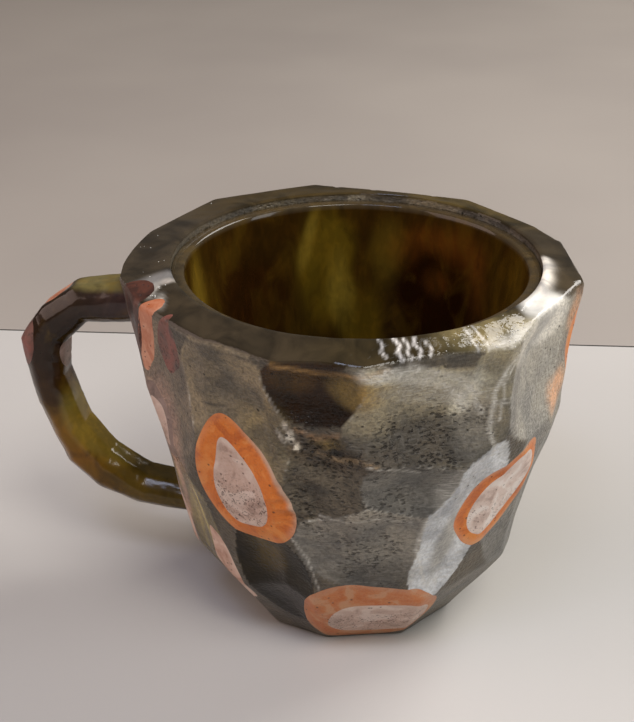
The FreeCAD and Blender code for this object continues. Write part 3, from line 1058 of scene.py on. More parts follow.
@dataclass
class MugBody:
    """The casting: ground facets outside, a sloping polished rim and a plain bore behind the liner."""

    wall: Wall
    rim_rows: int = 12
    edge_round: float = 0.9  # mm of the wall below the rim that its soft edge takes
    edge_drop: float = 0.45
    foot_drop: float = 0.5
    crack_depth: float = 0.95
    flake_depth: float = 0.5
    nick_bearing: float = 272.0
    nick_half_turn: float = 1.3
    nick_depth: float = 0.9
    lip_recess: float = 2.05  # mm from the liner's lip down to the step it sits on
    bore_radius: float = 42.25
    bore: tuple[tuple[float, float], ...] = ((37.6, 40.0), (28.0, 18.0), (12.0, 9.2))
    floor: float = 8.9
    chip_band: tuple[Patch, ...] = (Patch(269, 66, 11, 7.5, -18), Patch(262, 50, 6, 9, 0))
    grain: Grain = field(default_factory=lambda: Grain(11))

    def relief(self, bearing: Array, height: Array) -> Array:
        """Chipped and pitted relief.

        Args:
            bearing: degrees, any shape.
            height: mm above the foot, the same shape.

        Returns:
            Depth in mm below the ground surface.
        """
        spot = round_axis(48.0, np.radians(bearing), height)
        drawn_out = spot * np.array([1, 1, 1.9])
        cracked = 1 - np.abs(self.grain.at(drawn_out, 4.6, 3)) * 2.2
        flaked = np.clip(self.grain.at(drawn_out + 50, 2.2, 2), 0, 1)
        ragged = 0.2 * self.grain.at(spot, 6.0, 2)
        depth = np.zeros_like(bearing)
        for patch in self.chip_band:
            mask = 1 - smooth(0.55, 1.15, patch.share(bearing, height) + ragged)
            depth = np.maximum(depth, mask * np.clip(cracked, 0, 1) * self.crack_depth)
        for wash in self.PITTED:
            pitted = wash.weight(bearing, height, np.zeros_like(height))
            depth = np.maximum(depth, pitted * flaked * self.flake_depth)
        return depth

    def outer_rows(self, bearing: Array) -> list[tuple[Array, Array]]:
        """Rows of the wall.

        Args:
            bearing: degrees of each point in a row.

        Returns:
            Radius and height of each row, from the foot to the rim's outer edge.
        """
        top = self.wall.top(bearing)
        shares = np.linspace(0, 1, self.wall.rows)
        shares = shares + 0.04 * np.sin(2 * np.pi * shares)  # rows closer at the foot and rim
        rows = []
        for share in shares:
            height = top * share
            radius = self.wall.ground(bearing, height) - self.relief(bearing, height)
            near_top = np.clip(1 - (top - height) / self.edge_round, 0, 1)
            near_foot = np.clip(1 - height / self.edge_round, 0, 1)
            softened = self.edge_drop * near_top**2 + self.foot_drop * near_foot**2
            rows.append((radius - softened, height))
        return rows

    def rim_profile(self, bearing: Array, edge: Array) -> list[tuple[Array, Array]]:
        """Rows of the rim.

        Args:
            bearing: degrees of each point in a row.
            edge: radius of each point on the rim's outer edge.

        Returns:
            Radius and height of each row, from the outer edge to the mouth.
        """
        mouth = self.wall.mouth_radius
        rows = []
        for share in np.linspace(0, 1, self.rim_rows + 1)[1:]:
            out = edge + (mouth + 0.05 - edge) * share
            rise = self.wall.rim_height(bearing, out)
            spot = round_axis(out, np.radians(bearing), rise)
            wave = 0.26 * self.grain.at(spot, 6.0, 2) * math.sin(math.pi * min(share, 0.98))
            outer = 0.35 * np.clip(1 - share * 9, 0, 1) ** 2
            inner = 0.30 * np.clip((share - 0.9) * 10, 0, 1) ** 2
            rows.append((out, rise - np.abs(wave) - outer - inner))
        return rows

    def build(self) -> bpy.types.Object:
        """Closed mesh of the whole casting, before its pockets are cut."""
        bearing = self.wall.bearings
        outer = self.outer_rows(bearing)
        foot = outer[0][0]
        rows = [(foot * share, 0.0) for share in (0.3, 0.65, 0.9, 0.98)]
        rows += outer + self.rim_profile(bearing, outer[-1][0])
        across = turn_between(bearing, self.nick_bearing) / self.nick_half_turn
        nick = self.nick_depth * np.exp(-(across**2))
        rows[-1] = (rows[-1][0] + nick, rows[-1][1] - nick * 0.8)
        mouth = self.wall.mouth_radius
        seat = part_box("liner_cup")[1].z / MM - self.lip_recess
        rows += [(mouth, 89.6 - nick), (mouth, seat), (self.bore_radius, seat)]
        rows += self.bore
        turn = np.radians(bearing)
        rings = [round_axis(radius, turn, height) for radius, height in rows]
        ends = np.array([[0, 0, 0.0], [0, 0, self.floor]])
        points = np.concatenate(rings + [ends])
        return mesh_object("mug_body_blank", points, tube_faces(len(rows), self.wall.around))

    # Tints of the ground wall, each laid over the ones before it.
    WASHES = (
        Wash(Patch(217, 57, 5.5, 13, 4), "#9a7d6e", 0.9, 0.5),
        Wash(Patch(254, 67, 6, 9, 10), "#756842", 0.7, 0.6),
        Wash(Patch(238, 80, 6, 5), "#3d372c", 0.6, 0.6),
        Wash(Patch(277, 81.0, 5, 3.6, -20), "#8a7340", 0.9, 0.5),
        Wash(Patch(284, 84.0, 5, 2.2, -8), "#8f7c4e", 0.7, 0.5),
        Wash(Patch(270, 66.5, 9, 5.5, -10), "#3b2f20", 0.85, 0.3),
        Wash(Patch(261.5, 69.0, 0.8, 1.6), "#cfcabf", 0.9, 0.4),
        Wash(Patch(263.2, 66.5, 0.6, 1.2), "#c6c0b2", 0.9, 0.4),
        Wash(Patch(260.2, 71.8, 0.6, 0.9), "#cfcabf", 0.8, 0.4),
        Wash(Patch(200, 80, 6, 9), "#3a2620", 0.9, 0.4),
        Wash(Patch(295, 83.2, 13, 2.0, -12), "#c6c2ae", 0.9, 0.5),
        Wash(Patch(306, 76.5, 2.4, 6.5, -16), "#c6c2b0", 0.9, 0.5),
        Wash(Patch(271, 68, 3, 2), "#75602c", 0.8, 0.6),
        # Painted shade: the lower half of the large front hollow is darkened.
        Wash(Patch(297, 66.5, 12, 6.5, -6), "#2a2115", 0.85, 0.4),
        Wash(Patch(283, 64, 5, 3.5), "#2c2318", 0.7, 0.5),
        Wash(Patch(309, 69, 4, 7, -12), "#7a7569", 0.8, 0.5),
        Wash(Patch(321, 74, 2.6, 12, -8), "#4a453e", 0.9, 0.6),
        Wash(Patch(326, 84, 6, 4), "#c4c1b8", 0.7, 0.6),
        Wash(Patch(349, 64, 5, 5), "#c08a5e", 0.85, 0.5),
        Wash(Patch(355, 82, 3, 5), "#b5763a", 0.7, 0.5),
        Wash(Patch(286, 28.5, 10, 4.0), "#28221a", 0.85, 0.5),
        Wash(Patch(249, 34, 5, 7), "#4b3d12", 0.85, 0.7),
        Wash(Patch(262, 83, 5, 3), "#4a3412", 0.8, 0.6),
        Wash(Patch(257, 15, 5, 7), "#241c0c", 0.7, 0.6),
        Wash(Patch(307, 36, 3.0, 10, -14), "#7d7b75", 0.8, 0.5),
        Wash(Patch(224, 38, 1.5, 10, 12), "#b3a765", 0.95, 0.6),
        Wash(Patch(219, 29, 1.3, 8, 12), "#8a7e48", 0.9, 0.6),
        Wash(Patch(60, 50, 20, 9), "#4a4436", 0.5),
        Wash(Patch(100, 62, 12, 8), "#6c6450", 0.6),
        Wash(Patch(165, 62, 10, 10), "#5e5848", 0.6),
        Wash(Patch(341, 84.5, 6.5, 4.5), "#dcdad4", 0.95, 0.5),
        Streak(((258, 86.5), (268, 85.2), (279, 85.6), (285, 86.4)), 0.55, "#9a7a4c", 0.8),
        Streak(((226, 86.5), (236, 86.0), (247, 86.2), (257, 86.8)), 0.45, "#1d1711", 0.75),
        Streak(((243, 84), (250, 79), (254, 72), (256, 65)), 0.35, "#8a816c", 0.5),
        Streak(((246, 82), (254, 76), (258, 68)), 0.3, "#2a221a", 0.6),
        Streak(((236, 71), (240, 71.6), (243, 71)), 0.35, "#231c15", 0.8),
        Streak(((238, 78), (241, 77)), 0.3, "#2a221a", 0.8),
        Streak(((205, 69), (211, 62), (214, 50), (212, 36), (210, 22)), 1.3, "#c9a08a", 0.75),
        Streak(((263, 71), (268, 69.4), (273, 70.2)), 0.5, "#9a7650", 0.8),
        Streak(((268, 65), (273, 63.6), (279, 64.2), (283, 63)), 0.45, "#8f7a5c", 0.8),
        Streak(((258, 70), (260, 67)), 0.5, "#c9c5ba", 0.7),
        Wash(Patch(273, 65.5, 2.0, 1.2), "#120c08", 0.9, 0.4),
    )
    # A mark with no colour tints nothing: it only says where the wall is frosted, beaded or pitted.
    FROST = (
        Streak(((279, 85.6), (287, 84.2), (296, 82.2), (303, 78.5), (306, 74)), 1.5, "", 1.0),
        Streak(((284, 86.4), (294, 84.8), (303, 81.8), (309, 77)), 0.7, "", 1.0),
        Streak(((290, 86.8), (300, 83.6), (307, 79), (310.5, 72)), 0.7, "", 0.9),
        Streak(((286, 83.2), (297, 80.6), (304, 76.5)), 0.5, "", 0.7),
        Streak(((331, 88), (323, 86.5), (316.5, 82.5), (313.2, 77), (312.4, 68), (315, 60)), 0.6, "", 1.0),
        Streak(((328, 87), (320, 84), (315.5, 79), (314.6, 70)), 0.35, "", 0.9),
        Streak(((341, 87), (340, 78), (346, 70)), 0.7, "", 0.8),
        Streak(((281, 63.0), (287, 61.6), (294.4, 59.4)), 0.40, "", 0.8),
        Streak(((268, 47.2), (276, 46.0), (285, 47.0), (294, 45.0)), 0.35, "", 0.7),
        Streak(((298, 46), (296.6, 36), (301.6, 24.3)), 0.6, "", 0.95),
        Streak(((238, 47), (247, 44), (258, 42.5), (264, 33), (267, 24)), 0.30, "", 0.7),
    )
    VEILS = (
        Wash(Patch(339, 83.5, 7, 4.5), "", 0.95, 0.5),
        Wash(Patch(299, 79.5, 13, 4.5, -14), "", 0.5, 0.5),
        Wash(Patch(307, 52, 7, 8, -14), "", 0.55, 0.4),
    )
    BEADED = (
        Wash(Patch(316, 93.0, 8, 2.6, 6), "", 1.0, 0.4),
        Wash(Patch(312, 96.0, 12, 5), "", 0.16, 0.5),
        Wash(Patch(211, 94.6, 5, 1.3, -30), "", 0.8, 0.5),
        Wash(Patch(180, 95.0, 30, 6), "", 0.03, 0.5),
    )
    PITTED = (
        Wash(Patch(297, 68, 13, 7.5, -6), "", 0.85, 0.3),
        Wash(Patch(297, 67, 15, 8.5, -8), "", 1.0, 0.3),
        Wash(Patch(276, 50, 16, 14), "", 0.75, 0.3),
        Wash(Patch(281, 38, 10, 10), "", 0.8, 0.3),
        Wash(Patch(292, 54, 11, 7), "", 0.35, 0.3),
        Wash(Patch(268, 66, 11, 9), "", 0.9, 0.3),
        Wash(Patch(245, 66, 12, 18), "", 0.22, 0.3),
        Wash(Patch(100, 40, 40, 25), "", 0.5, 0.5),
        Wash(Patch(20, 50, 20, 25), "", 0.4, 0.5),
    )
    # On the rim a mark's height is RIM_MARKS_FROM at the mouth and falls by 1 for each mm outwards.
    RIM_MARKS_FROM = 100.0
    RIM_MARKS = (
        Wash(Patch(300, 96, 26, 7), "#372f1d", 0.8, 0.5),
        Wash(Patch(312, 96, 10, 7), "#7d7250", 0.8, 0.5),
        Wash(Patch(176, 95, 20, 10), "#3d362c", 0.7, 0.5),
        Wash(Patch(110, 95, 30, 8), "#3a2f17", 0.8, 0.5),
        Wash(Patch(60, 95, 20, 8), "#4a3f22", 0.8, 0.5),
        Wash(Patch(204, 95.5, 3.2, 8, 12), "#7b7b7c", 0.85, 0.6),
        Wash(Patch(207, 98.5, 1.4, 1.6), "#b9b4ad", 0.9, 0.7),
        Wash(Patch(337, 95, 6.5, 5.5), "#dfe0dd", 1.0, 0.4),
        Wash(Patch(322, 92.5, 8, 3.5), "#8b8570", 0.8, 0.6),
        Wash(Patch(359, 95.5, 8, 5), "#40382b", 1.0, 0.25),
        Streak(((8, 99), (358, 99.2), (345, 98.5), (338, 97)), 1.5, "#e6e2da", 1.0),
        Streak(((324, 90.5), (331, 92), (336, 94)), 1.3, "#e0ddd2", 0.9),
        # Painted reflections: wavy white streaks on the front of the rim, where the window would show in
        # its ripples.
        Streak(((283.3, 99.6), (284.2, 97.5), (283.5, 95.8), (284.6, 94.2)), 0.30, "#d9d8d6", 0.9),
        Streak(((287.4, 99.4), (288.6, 97.2), (287.6, 95.4), (288.4, 93.2)), 0.34, "#e4e3e2", 0.95),
        Streak(((290.0, 99.0), (290.8, 96.8), (289.9, 95.0), (290.6, 93.4)), 0.28, "#dedddb", 0.9),
        Streak(((293.0, 98.9), (292.2, 97.0), (293.4, 95.3), (292.5, 93.5)), 0.32, "#e4e3e2", 0.9),
        Streak(((295.4, 97.2), (296.0, 95.2), (295.2, 93.4)), 0.28, "#dddcda", 0.85),
        Streak(((308.4, 99.8), (307.6, 95.5), (307.2, 91.8)), 0.32, "#c9c7c0", 0.85),
        Streak(((310.8, 99.6), (310.5, 95.5), (310.2, 92.4)), 0.32, "#c9c7c0", 0.85),
    )
    RIM_FROST = (
        Wash(Patch(318, 92.0, 7, 2.2), "", 0.75, 0.6),
        Wash(Patch(209, 94.6, 3.5, 1.2, -30), "", 0.8, 0.6),
        Wash(Patch(216, 94.2, 3.0, 1.2, -20), "", 0.7, 0.6),
        Wash(Patch(338, 95, 7, 6), "", 0.5, 0.5),
    )
    BASE_TONE = "#473f31"
    RIM_TONE = "#383126"

    def dress(self, body: bpy.types.Object) -> None:
        """Store the casting's tints, haze, grit and polish on its vertices.

        Args:
            body: the cut casting.
        """
        spots = points_of(body)
        bearing, height = bearing_of(spots), spots[:, 2]
        out = np.hypot(spots[:, 0], spots[:, 1])
        noise = self.grain.at(spots + 300, 7.0, 3)
        tone = np.tile(linear(self.BASE_TONE)[:3], (len(spots), 1))
        place, _, ridge = self.wall.hollows(bearing, height)
        haze = np.full(len(spots), 0.1)
        grit = np.full(len(spots), 0.2)
        polish = np.zeros(len(spots))
        for index, scoop in enumerate(self.wall.scoops):
            here = place == index
            # Painted shade: each hollow's tone darkens towards its lower edge by its fall.
            low = (scoop.patch.height - height[here]) / scoop.patch.half_height
            shade = 2 ** (-scoop.fall * np.clip(low, -1.2, 1.2))
            tone[here] = np.array(linear(scoop.tone)[:3]) * shade[:, None]
            haze[here], grit[here], polish[here] = scoop.haze, scoop.grit, scoop.polish
        for wash in self.WASHES:
            tone = tinted(tone, wash.colour, wash.weight(bearing, height, noise))
        worn = np.clip(0.62 + 1.1 * noise, 0.05, 0.9)
        haze = np.maximum(haze, ridge * worn * smooth(4, 9, height))
        for mark in self.FROST + self.VEILS:
            haze = np.maximum(haze, mark.weight(bearing, height, noise))
        rise = self.wall.rim_height(bearing, out)
        on_rim = smooth(0.75, 0.3, rise - height) * smooth(84, 86, height) * (out > 43.0)
        across = self.RIM_MARKS_FROM - (out - self.wall.mouth_radius)
        rim_tone = np.tile(linear(self.RIM_TONE)[:3], (len(spots), 1))
        for mark in self.RIM_MARKS:
            rim_tone = tinted(rim_tone, mark.colour, mark.weight(bearing, across, noise))
        share = on_rim[:, None]
        tone = tone * (1 - share) + rim_tone * share
        rim_frost = np.max([mark.weight(bearing, across, noise) for mark in self.RIM_FROST], axis=0)
        haze = haze * (1 - on_rim) + on_rim * rim_frost
        for wash in self.PITTED:
            grit = np.maximum(grit, wash.weight(bearing, height, noise))
        for patch in self.chip_band:
            grit = np.maximum(grit, 1 - smooth(0.7, 1.15, patch.share(bearing, height)))
        set_number(body, "bead", on_rim * self._bead_share(bearing, across))
        set_colour(body, "tone", tone)
        set_number(body, "haze", haze)
        set_number(body, "grit", grit * (1 - on_rim))
        set_number(body, "polish", np.maximum(polish, on_rim))

    def _bead_share(self, bearing: Array, across: Array) -> Array:
        """How thickly the rim's trapped bubbles lie, by bearing and by height as in RIM_MARKS."""
        steady = np.zeros_like(bearing)
        return np.max([mark.weight(bearing, across, steady) for mark in self.BEADED], axis=0)


@dataclass
class LinerCup:
    """Thin glossy cup in the bore, with a flat lip just below the rim."""

    node: str = "liner_cup"
    around: int = 320
    wall_rows: int = 70
    lip_inner: float = 40.35
    lip_outer: float = 43.35
    wall: float = 2.0
    lip_depth: float = 2.0
    bowl_start: float = 39.2
    bowl_radius: float = 31.4
    floor_flat: float = 4.0
    draft: float = 5.9  # degrees that the bore opens upwards
    outside: tuple[tuple[float, float], ...] = ((8.0, 0.0), (25.0, 6.0))  # radius, mm over floor
    shoulder: tuple[float, float] = (37.2, 39.0)
    sleeve_radius: float = 42.15
    grain: Grain = field(default_factory=lambda: Grain(23))

    @property
    def lip_top(self) -> float:
        """Height of the lip, read off the frame."""
        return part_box(self.node)[1].z / MM

    def inner_radius(self, height: Array) -> Array:
        """Radius of the drinking surface.

        Args:
            height: mm above the foot.

        Returns:
            Radius in mm: a round bowl below bowl_start and a straight taper above it.
        """
        taper = math.tan(math.radians(self.draft))
        foot = self.lip_inner - (self.lip_top - self.bowl_start) * taper
        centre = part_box(self.node)[0].z / MM + self.wall + self.bowl_radius
        reach = np.clip(self.bowl_radius**2 - (centre - height) ** 2, 0, None)
        bowl = self.floor_flat + np.sqrt(reach)
        side = foot + (height - self.bowl_start) * taper
        return np.where(height < self.bowl_start, np.minimum(bowl, foot + 0.2), side)

    def build(self) -> bpy.types.Object:
        """Closed mesh of the cup."""
        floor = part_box(self.node)[0].z / MM
        under = self.lip_top - self.lip_depth
        turn = np.arange(self.around) * 2 * np.pi / self.around
        rows = [(radius, floor + rise) for radius, rise in self.outside]
        rows += [self.shoulder, (self.sleeve_radius, under)]
        rows += [(self.lip_outer, under), (self.lip_outer, self.lip_top - 0.2)]
        rows += [(self.lip_outer - 0.2, self.lip_top), (self.lip_inner + 1.2, self.lip_top + 0.05)]
        rows += [(self.lip_inner + 0.35, self.lip_top - 0.02)]
        steps = np.linspace(1, 0.0, self.wall_rows) ** 1.5
        for height in floor + self.wall + (self.lip_top - floor - self.wall) * steps:
            radius = float(self.inner_radius(np.array(height)))
            calm = min(1.0, (self.lip_top - height) / 8)
            wave = 0.10 * self.grain.at(round_axis(radius, turn, height), 16.0, 2) * calm
            drop = 0.35 if height > self.lip_top - 0.01 else 0.0
            rows.append((radius + wave, height - drop))
        rings = [round_axis(radius, turn, height) for radius, height in rows]
        points = np.concatenate(rings + [np.array([[0, 0, floor], [0, 0, floor + self.wall]])])
        return mesh_object("liner_cup_resin", points, tube_faces(len(rows), self.around))

    BASE_TONE = "#332107"
    # Lighter grey painted highlight along the lip.
    LIP_HIGHLIGHT_TONE = "#4a4130"
    # Clouds in the cup's resin, and the dark of the stones behind it.
    WASHES = (
        Wash(Patch(110, 72, 8, 17, 8), "#5f4c12", 0.9, 0.5, 0.7),
        Wash(Patch(103, 62, 4, 9, -10), "#7a6623", 0.8, 0.6, 0.7),
        Wash(Patch(116, 80, 2.0, 8, 20), "#7a6623", 0.7, 0.6, 0.7),
        Wash(Patch(92, 50, 9, 12, 20), "#54420f", 0.8, 0.6, 0.7),
        Wash(Patch(100, 38, 22, 7), "#4a390e", 0.6, 0.7, 0.5),
        Wash(Patch(128, 56, 7, 16, -8), "#46360c", 0.6, 0.7, 0.5),
        Wash(Patch(176, 76, 5, 12), "#6d571a", 0.9, 0.7, 0.4),
        Wash(Patch(186, 62, 5, 14), "#54410f", 0.8, 0.7, 0.4),
        Wash(Patch(15, 74, 7, 17), "#5a4614", 0.9, 0.7, 0.4),
        Wash(Patch(28, 60, 6, 18, 8), "#402d09", 0.8, 0.7, 0.4),
        Wash(Patch(84, 76, 5, 8), "#5d4b17", 0.7, 0.7, 0.4),
        Wash(Patch(62, 79, 15, 6, -4), "#57300d", 0.75, 0.6, 0.4),
        Wash(Patch(44, 70, 5, 10), "#553310", 0.6, 0.7, 0.4),
        Wash(Patch(141, 64, 15, 14), "#2a1605", 0.9, 0.35, 0.4),
        Wash(Patch(120, 50, 8, 12), "#2c1d08", 0.6, 0.6, 0.5),
        Wash(Patch(64, 60, 15, 17, 6), "#1c0a02", 1.0, 0.25, 0.25),
        Wash(Patch(63, 70, 4, 3), "#4e2c0c", 0.7, 0.7, 0.4),
        Wash(Patch(44, 52, 6, 16), "#1f0f04", 0.8, 0.5, 0.4),
        Wash(Patch(80, 50, 4, 16, -10), "#20120a", 0.7, 0.6, 0.4),
    )

    def dress(self, cup: bpy.types.Object) -> None:
        """Store the cup's tints: clouded resin, with the stones behind it showing dark.

        Args:
            cup: the cup.
        """
        spots = points_of(cup)
        bearing, height = bearing_of(spots), spots[:, 2]
        noise = self.grain.at(spots * np.array([1, 1, 0.5]) + 90, 8.0, 3)
        tone = np.tile(linear(self.BASE_TONE)[:3], (len(spots), 1))
        for wash in self.WASHES:
            tone = tinted(tone, wash.colour, wash.weight(bearing, height, noise))
        # Painted highlight: a lighter grey tint along the lip's top.
        tone = tinted(tone, self.LIP_HIGHLIGHT_TONE, smooth(87.6, 88.3, height) * 0.7)
        set_colour(cup, "tone", tone)


@dataclass
class Handle:
    """Loop handle, its ground sides read off the frame and worn soft."""

    along: int = 300
    around: int = 104
    gap_centre: tuple[float, float] = (-56.0, 48.0)
    first_turn: float = 76.0
    last_turn: float = 301.5
    reach: float = 11.0  # mm from the arm's middle at which the rays start
    outside_m: float = 0.08  # metres from the gap's centre, clear of the handle
    usual_radius: float = 6.0
    softening: int = 9
    grain: Grain = field(default_factory=lambda: Grain(31))

    def build(self) -> bpy.types.Object:
        """Closed mesh of the loop, its two roots let into the wall."""
        tree = frame_tree(["handle"])
        turns = np.radians(np.linspace(self.first_turn, self.last_turn, self.along))
        sides = np.arange(self.around) * 2 * np.pi / self.around
        centres = np.array([self._middle(tree, turn) for turn in turns])
        radii = np.empty((self.along, self.around))
        for i, turn in enumerate(turns):
            for j, side in enumerate(sides):
                radii[i, j] = self._radius(tree, centres[i], turn, side)
        radii = blur(median_filter(radii), self.softening)
        rings = []
        for i, turn in enumerate(turns):
            out = np.array([math.cos(turn), 0, math.sin(turn)])
            ways = np.cos(sides)[:, None] * out + np.sin(sides)[:, None] * np.array([0, 1, 0])
            spots = centres[i] + ways * radii[i][:, None]
            wear = 0.35 * np.abs(self.grain.at(spots, 9.0, 2))
            wear += 0.12 * np.abs(self.grain.at(spots, 3.0, 2))
            rings.append(spots - ways * wear[:, None])
        points = np.concatenate(rings + [centres[:1], centres[-1:]])
        return mesh_object("handle_blank", points, tube_faces(self.along, self.around))

    def _middle(self, tree: BVHTree, turn: float) -> Array:
        """Middle of the arm.

        Args:
            tree: the frame's handle.
            turn: angle in radians round the finger gap.

        Returns:
            Point in mm.
        """
        out = Vector((math.cos(turn), 0, math.sin(turn)))
        start = Vector((self.gap_centre[0] * MM, 0, self.gap_centre[1] * MM))
        inner = tree.ray_cast(start, out)[3]
        outer = self.outside_m - tree.ray_cast(start + out * self.outside_m, -out)[3]
        return np.array(start + out * ((inner + outer) / 2)) / MM

    def _radius(self, tree: BVHTree, centre: Array, turn: float, side: float) -> float:
        """Distance from the arm's middle to its surface.

        Args:
            tree: the frame's handle.
            centre: the arm's middle in mm.
            turn: angle in radians of that middle round the finger gap.
            side: angle in radians round the arm, from its outer side.

        Returns:
            Distance in mm.
        """
        out = Vector((math.cos(turn) * math.cos(side), math.sin(side), math.sin(turn) * math.cos(side)))
        start = Vector(centre * MM) + out * (self.reach * MM)
        hit = tree.ray_cast(start, -out)
        return self.reach - hit[3] / MM if hit[0] else self.usual_radius

    # Tone at each angle in degrees round the finger gap, from the upper root to the lower. The bright
    # amber from 205 to 235 degrees is painted glow of light passing through the lower arm.
    TONE_AND_GLOW_STATIONS = (
        (90, "#3a2b28"),
        (110, "#2c211a"),
        (135, "#24170c"),
        (160, "#2a1808"),
        (185, "#3c280a"),
        (205, "#74500e"),
        (235, "#6e4a0e"),
        (262, "#5f4a14"),
        (290, "#55461c"),
    )
    TOP_TONE = "#756c42"
    ROOT_TONE = "#43302f"
    GAP_TONE = "#8a7a35"

    def dress(self, handle: bpy.types.Object) -> None:
        """Store the handle's tints: dark at the top, and in the lower arm an amber that is painted glow of
        light through the resin.

        Args:
            handle: the cut handle.
        """
        spots = points_of(handle)
        right, up = spots[:, 0] - self.gap_centre[0], spots[:, 2] - self.gap_centre[1]
        turn, away = np.degrees(np.arctan2(up, right)) % 360, np.hypot(up, right)
        noise = self.grain.at(spots + 60, 9.0, 3)
        # The lower arm's amber stations are painted glow.
        stops = [stop for stop, _ in self.TONE_AND_GLOW_STATIONS]
        colours = np.array([linear(colour)[:3] for _, colour in self.TONE_AND_GLOW_STATIONS])
        strayed = turn + 10 * noise
        tone = np.stack([np.interp(strayed, stops, band) for band in colours.T], axis=1)
        top = smooth(0.5, 2.0, spots[:, 2] - 78.0 + 1.2 * noise) * 0.85
        root = smooth(-58.5, -54.0, spots[:, 0] + noise) * smooth(60, 66, spots[:, 2]) * 0.85
        inner = smooth(19.5, 16.5, away) * smooth(160, 185, turn) * 0.6
        for colour, share in ((self.TOP_TONE, top), (self.ROOT_TONE, root), (self.GAP_TONE, inner)):
            tone = tinted(tone, colour, share)
        set_colour(handle, "tone", tone)


STONE_AROUND = 160  # points round a stone


@dataclass(frozen=True)
class Outline:
    """Outline of a stone on the ground face, in its own right and up directions.

    It is an oval, squared off when square is over 2. point draws its top in, wobble makes it
    uneven, and right and up move it off the seat's middle.
    """

    half_width: float
    half_height: float
    roll: float = 0.0
    point: float = 0.0
    wobble: float = 0.05
    seed: int = 1
    right: float = 0.0
    up: float = 0.0
    square: float = 2.0

    def edge(self, angles: Array) -> Array:
        """Points on the outline.

        Args:
            angles: radians round the outline.

        Returns:
            Places to the right and up of the seat's middle, in mm.
        """
        power = 2 / self.square
        x = np.sign(np.cos(angles)) * np.abs(np.cos(angles)) ** power
        y = np.sign(np.sin(angles)) * np.abs(np.sin(angles)) ** power
        x = x * (1 - self.point * (y + 1) / 2)
        draws = np.random.default_rng(self.seed)
        grow = np.ones_like(angles)
        for wave in range(2, 8):
            size, start = draws.normal() * self.wobble / wave, draws.uniform(0, 2 * np.pi)
            grow += size * np.cos(wave * angles + start)
        x, y = x * self.half_width * grow, y * self.half_height * grow
        c, s = math.cos(math.radians(self.roll)), math.sin(math.radians(self.roll))
        return np.stack([x * c - y * s + self.right, x * s + y * c + self.up], axis=1)


@dataclass(frozen=True)
class Seat:
    """Where a stone sits: its middle, and its outward, right and up directions."""

    middle: Array
    out: Array
    right: Array
    up: Array

    @classmethod
    def on_wall(cls, nodes: Sequence[str], dip: float) -> "Seat":
        """Seat in the wall at the middle of the stone's own nodes.

        Args:
            nodes: the frame's nodes that the stone is made of.
            dip: degrees that the seat faces downwards.

        Returns:
            The seat.
        """
        low = np.min([np.array(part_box(node)[0]) for node in nodes], axis=0) / MM
        high = np.max([np.array(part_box(node)[1]) for node in nodes], axis=0) / MM
        middle = (low + high) / 2
        turn, lean = math.atan2(middle[1], middle[0]), math.radians(dip)
        level = math.cos(lean)
        out = np.array([math.cos(turn) * level, math.sin(turn) * level, -math.sin(lean)])
        right = np.array([-math.sin(turn), math.cos(turn), 0])
        return cls(middle, out, right, np.cross(out, right))

    def stone(self, name: str, outline: Outline, depth: float, proud: float = 8.0) -> bpy.types.Object:
        """Whole stone as a closed mesh: the outline at the seat, drawn in with depth.

        Args:
            name: name of the object.
            outline: the stone's outline where it meets the seat.
            depth: mm from the seat to its deepest point.
            proud: mm that it stands out of the wall before it is cut flush.

        Returns:
            The stone.
        """
        around, rings = STONE_AROUND, 25
        edge = outline.edge(np.arange(around) * 2 * np.pi / around)
        centre = edge.mean(axis=0)
        rows = []
        for share in np.linspace(-0.995, 0.995, rings):
            size = math.sqrt(1 - share**2) if share < 0 else 1 - 0.25 * share**2
            off = share * depth if share < 0 else share * proud
            flat = centre + (edge - centre) * size
            rows.append(self.middle + flat[:, :1] * self.right + flat[:, 1:] * self.up + off * self.out)
        core = self.middle + centre[0] * self.right + centre[1] * self.up
        ends = np.array([core - depth * self.out, core + proud * self.out])
        return mesh_object(name, np.concatenate(rows + [ends]), tube_faces(rings, around))

    def flat_spots(self, points: Array) -> Array:
        """Points' places to the right and up of the seat's middle."""
        away = points - self.middle
        return np.stack([away @ self.right, away @ self.up], axis=1)


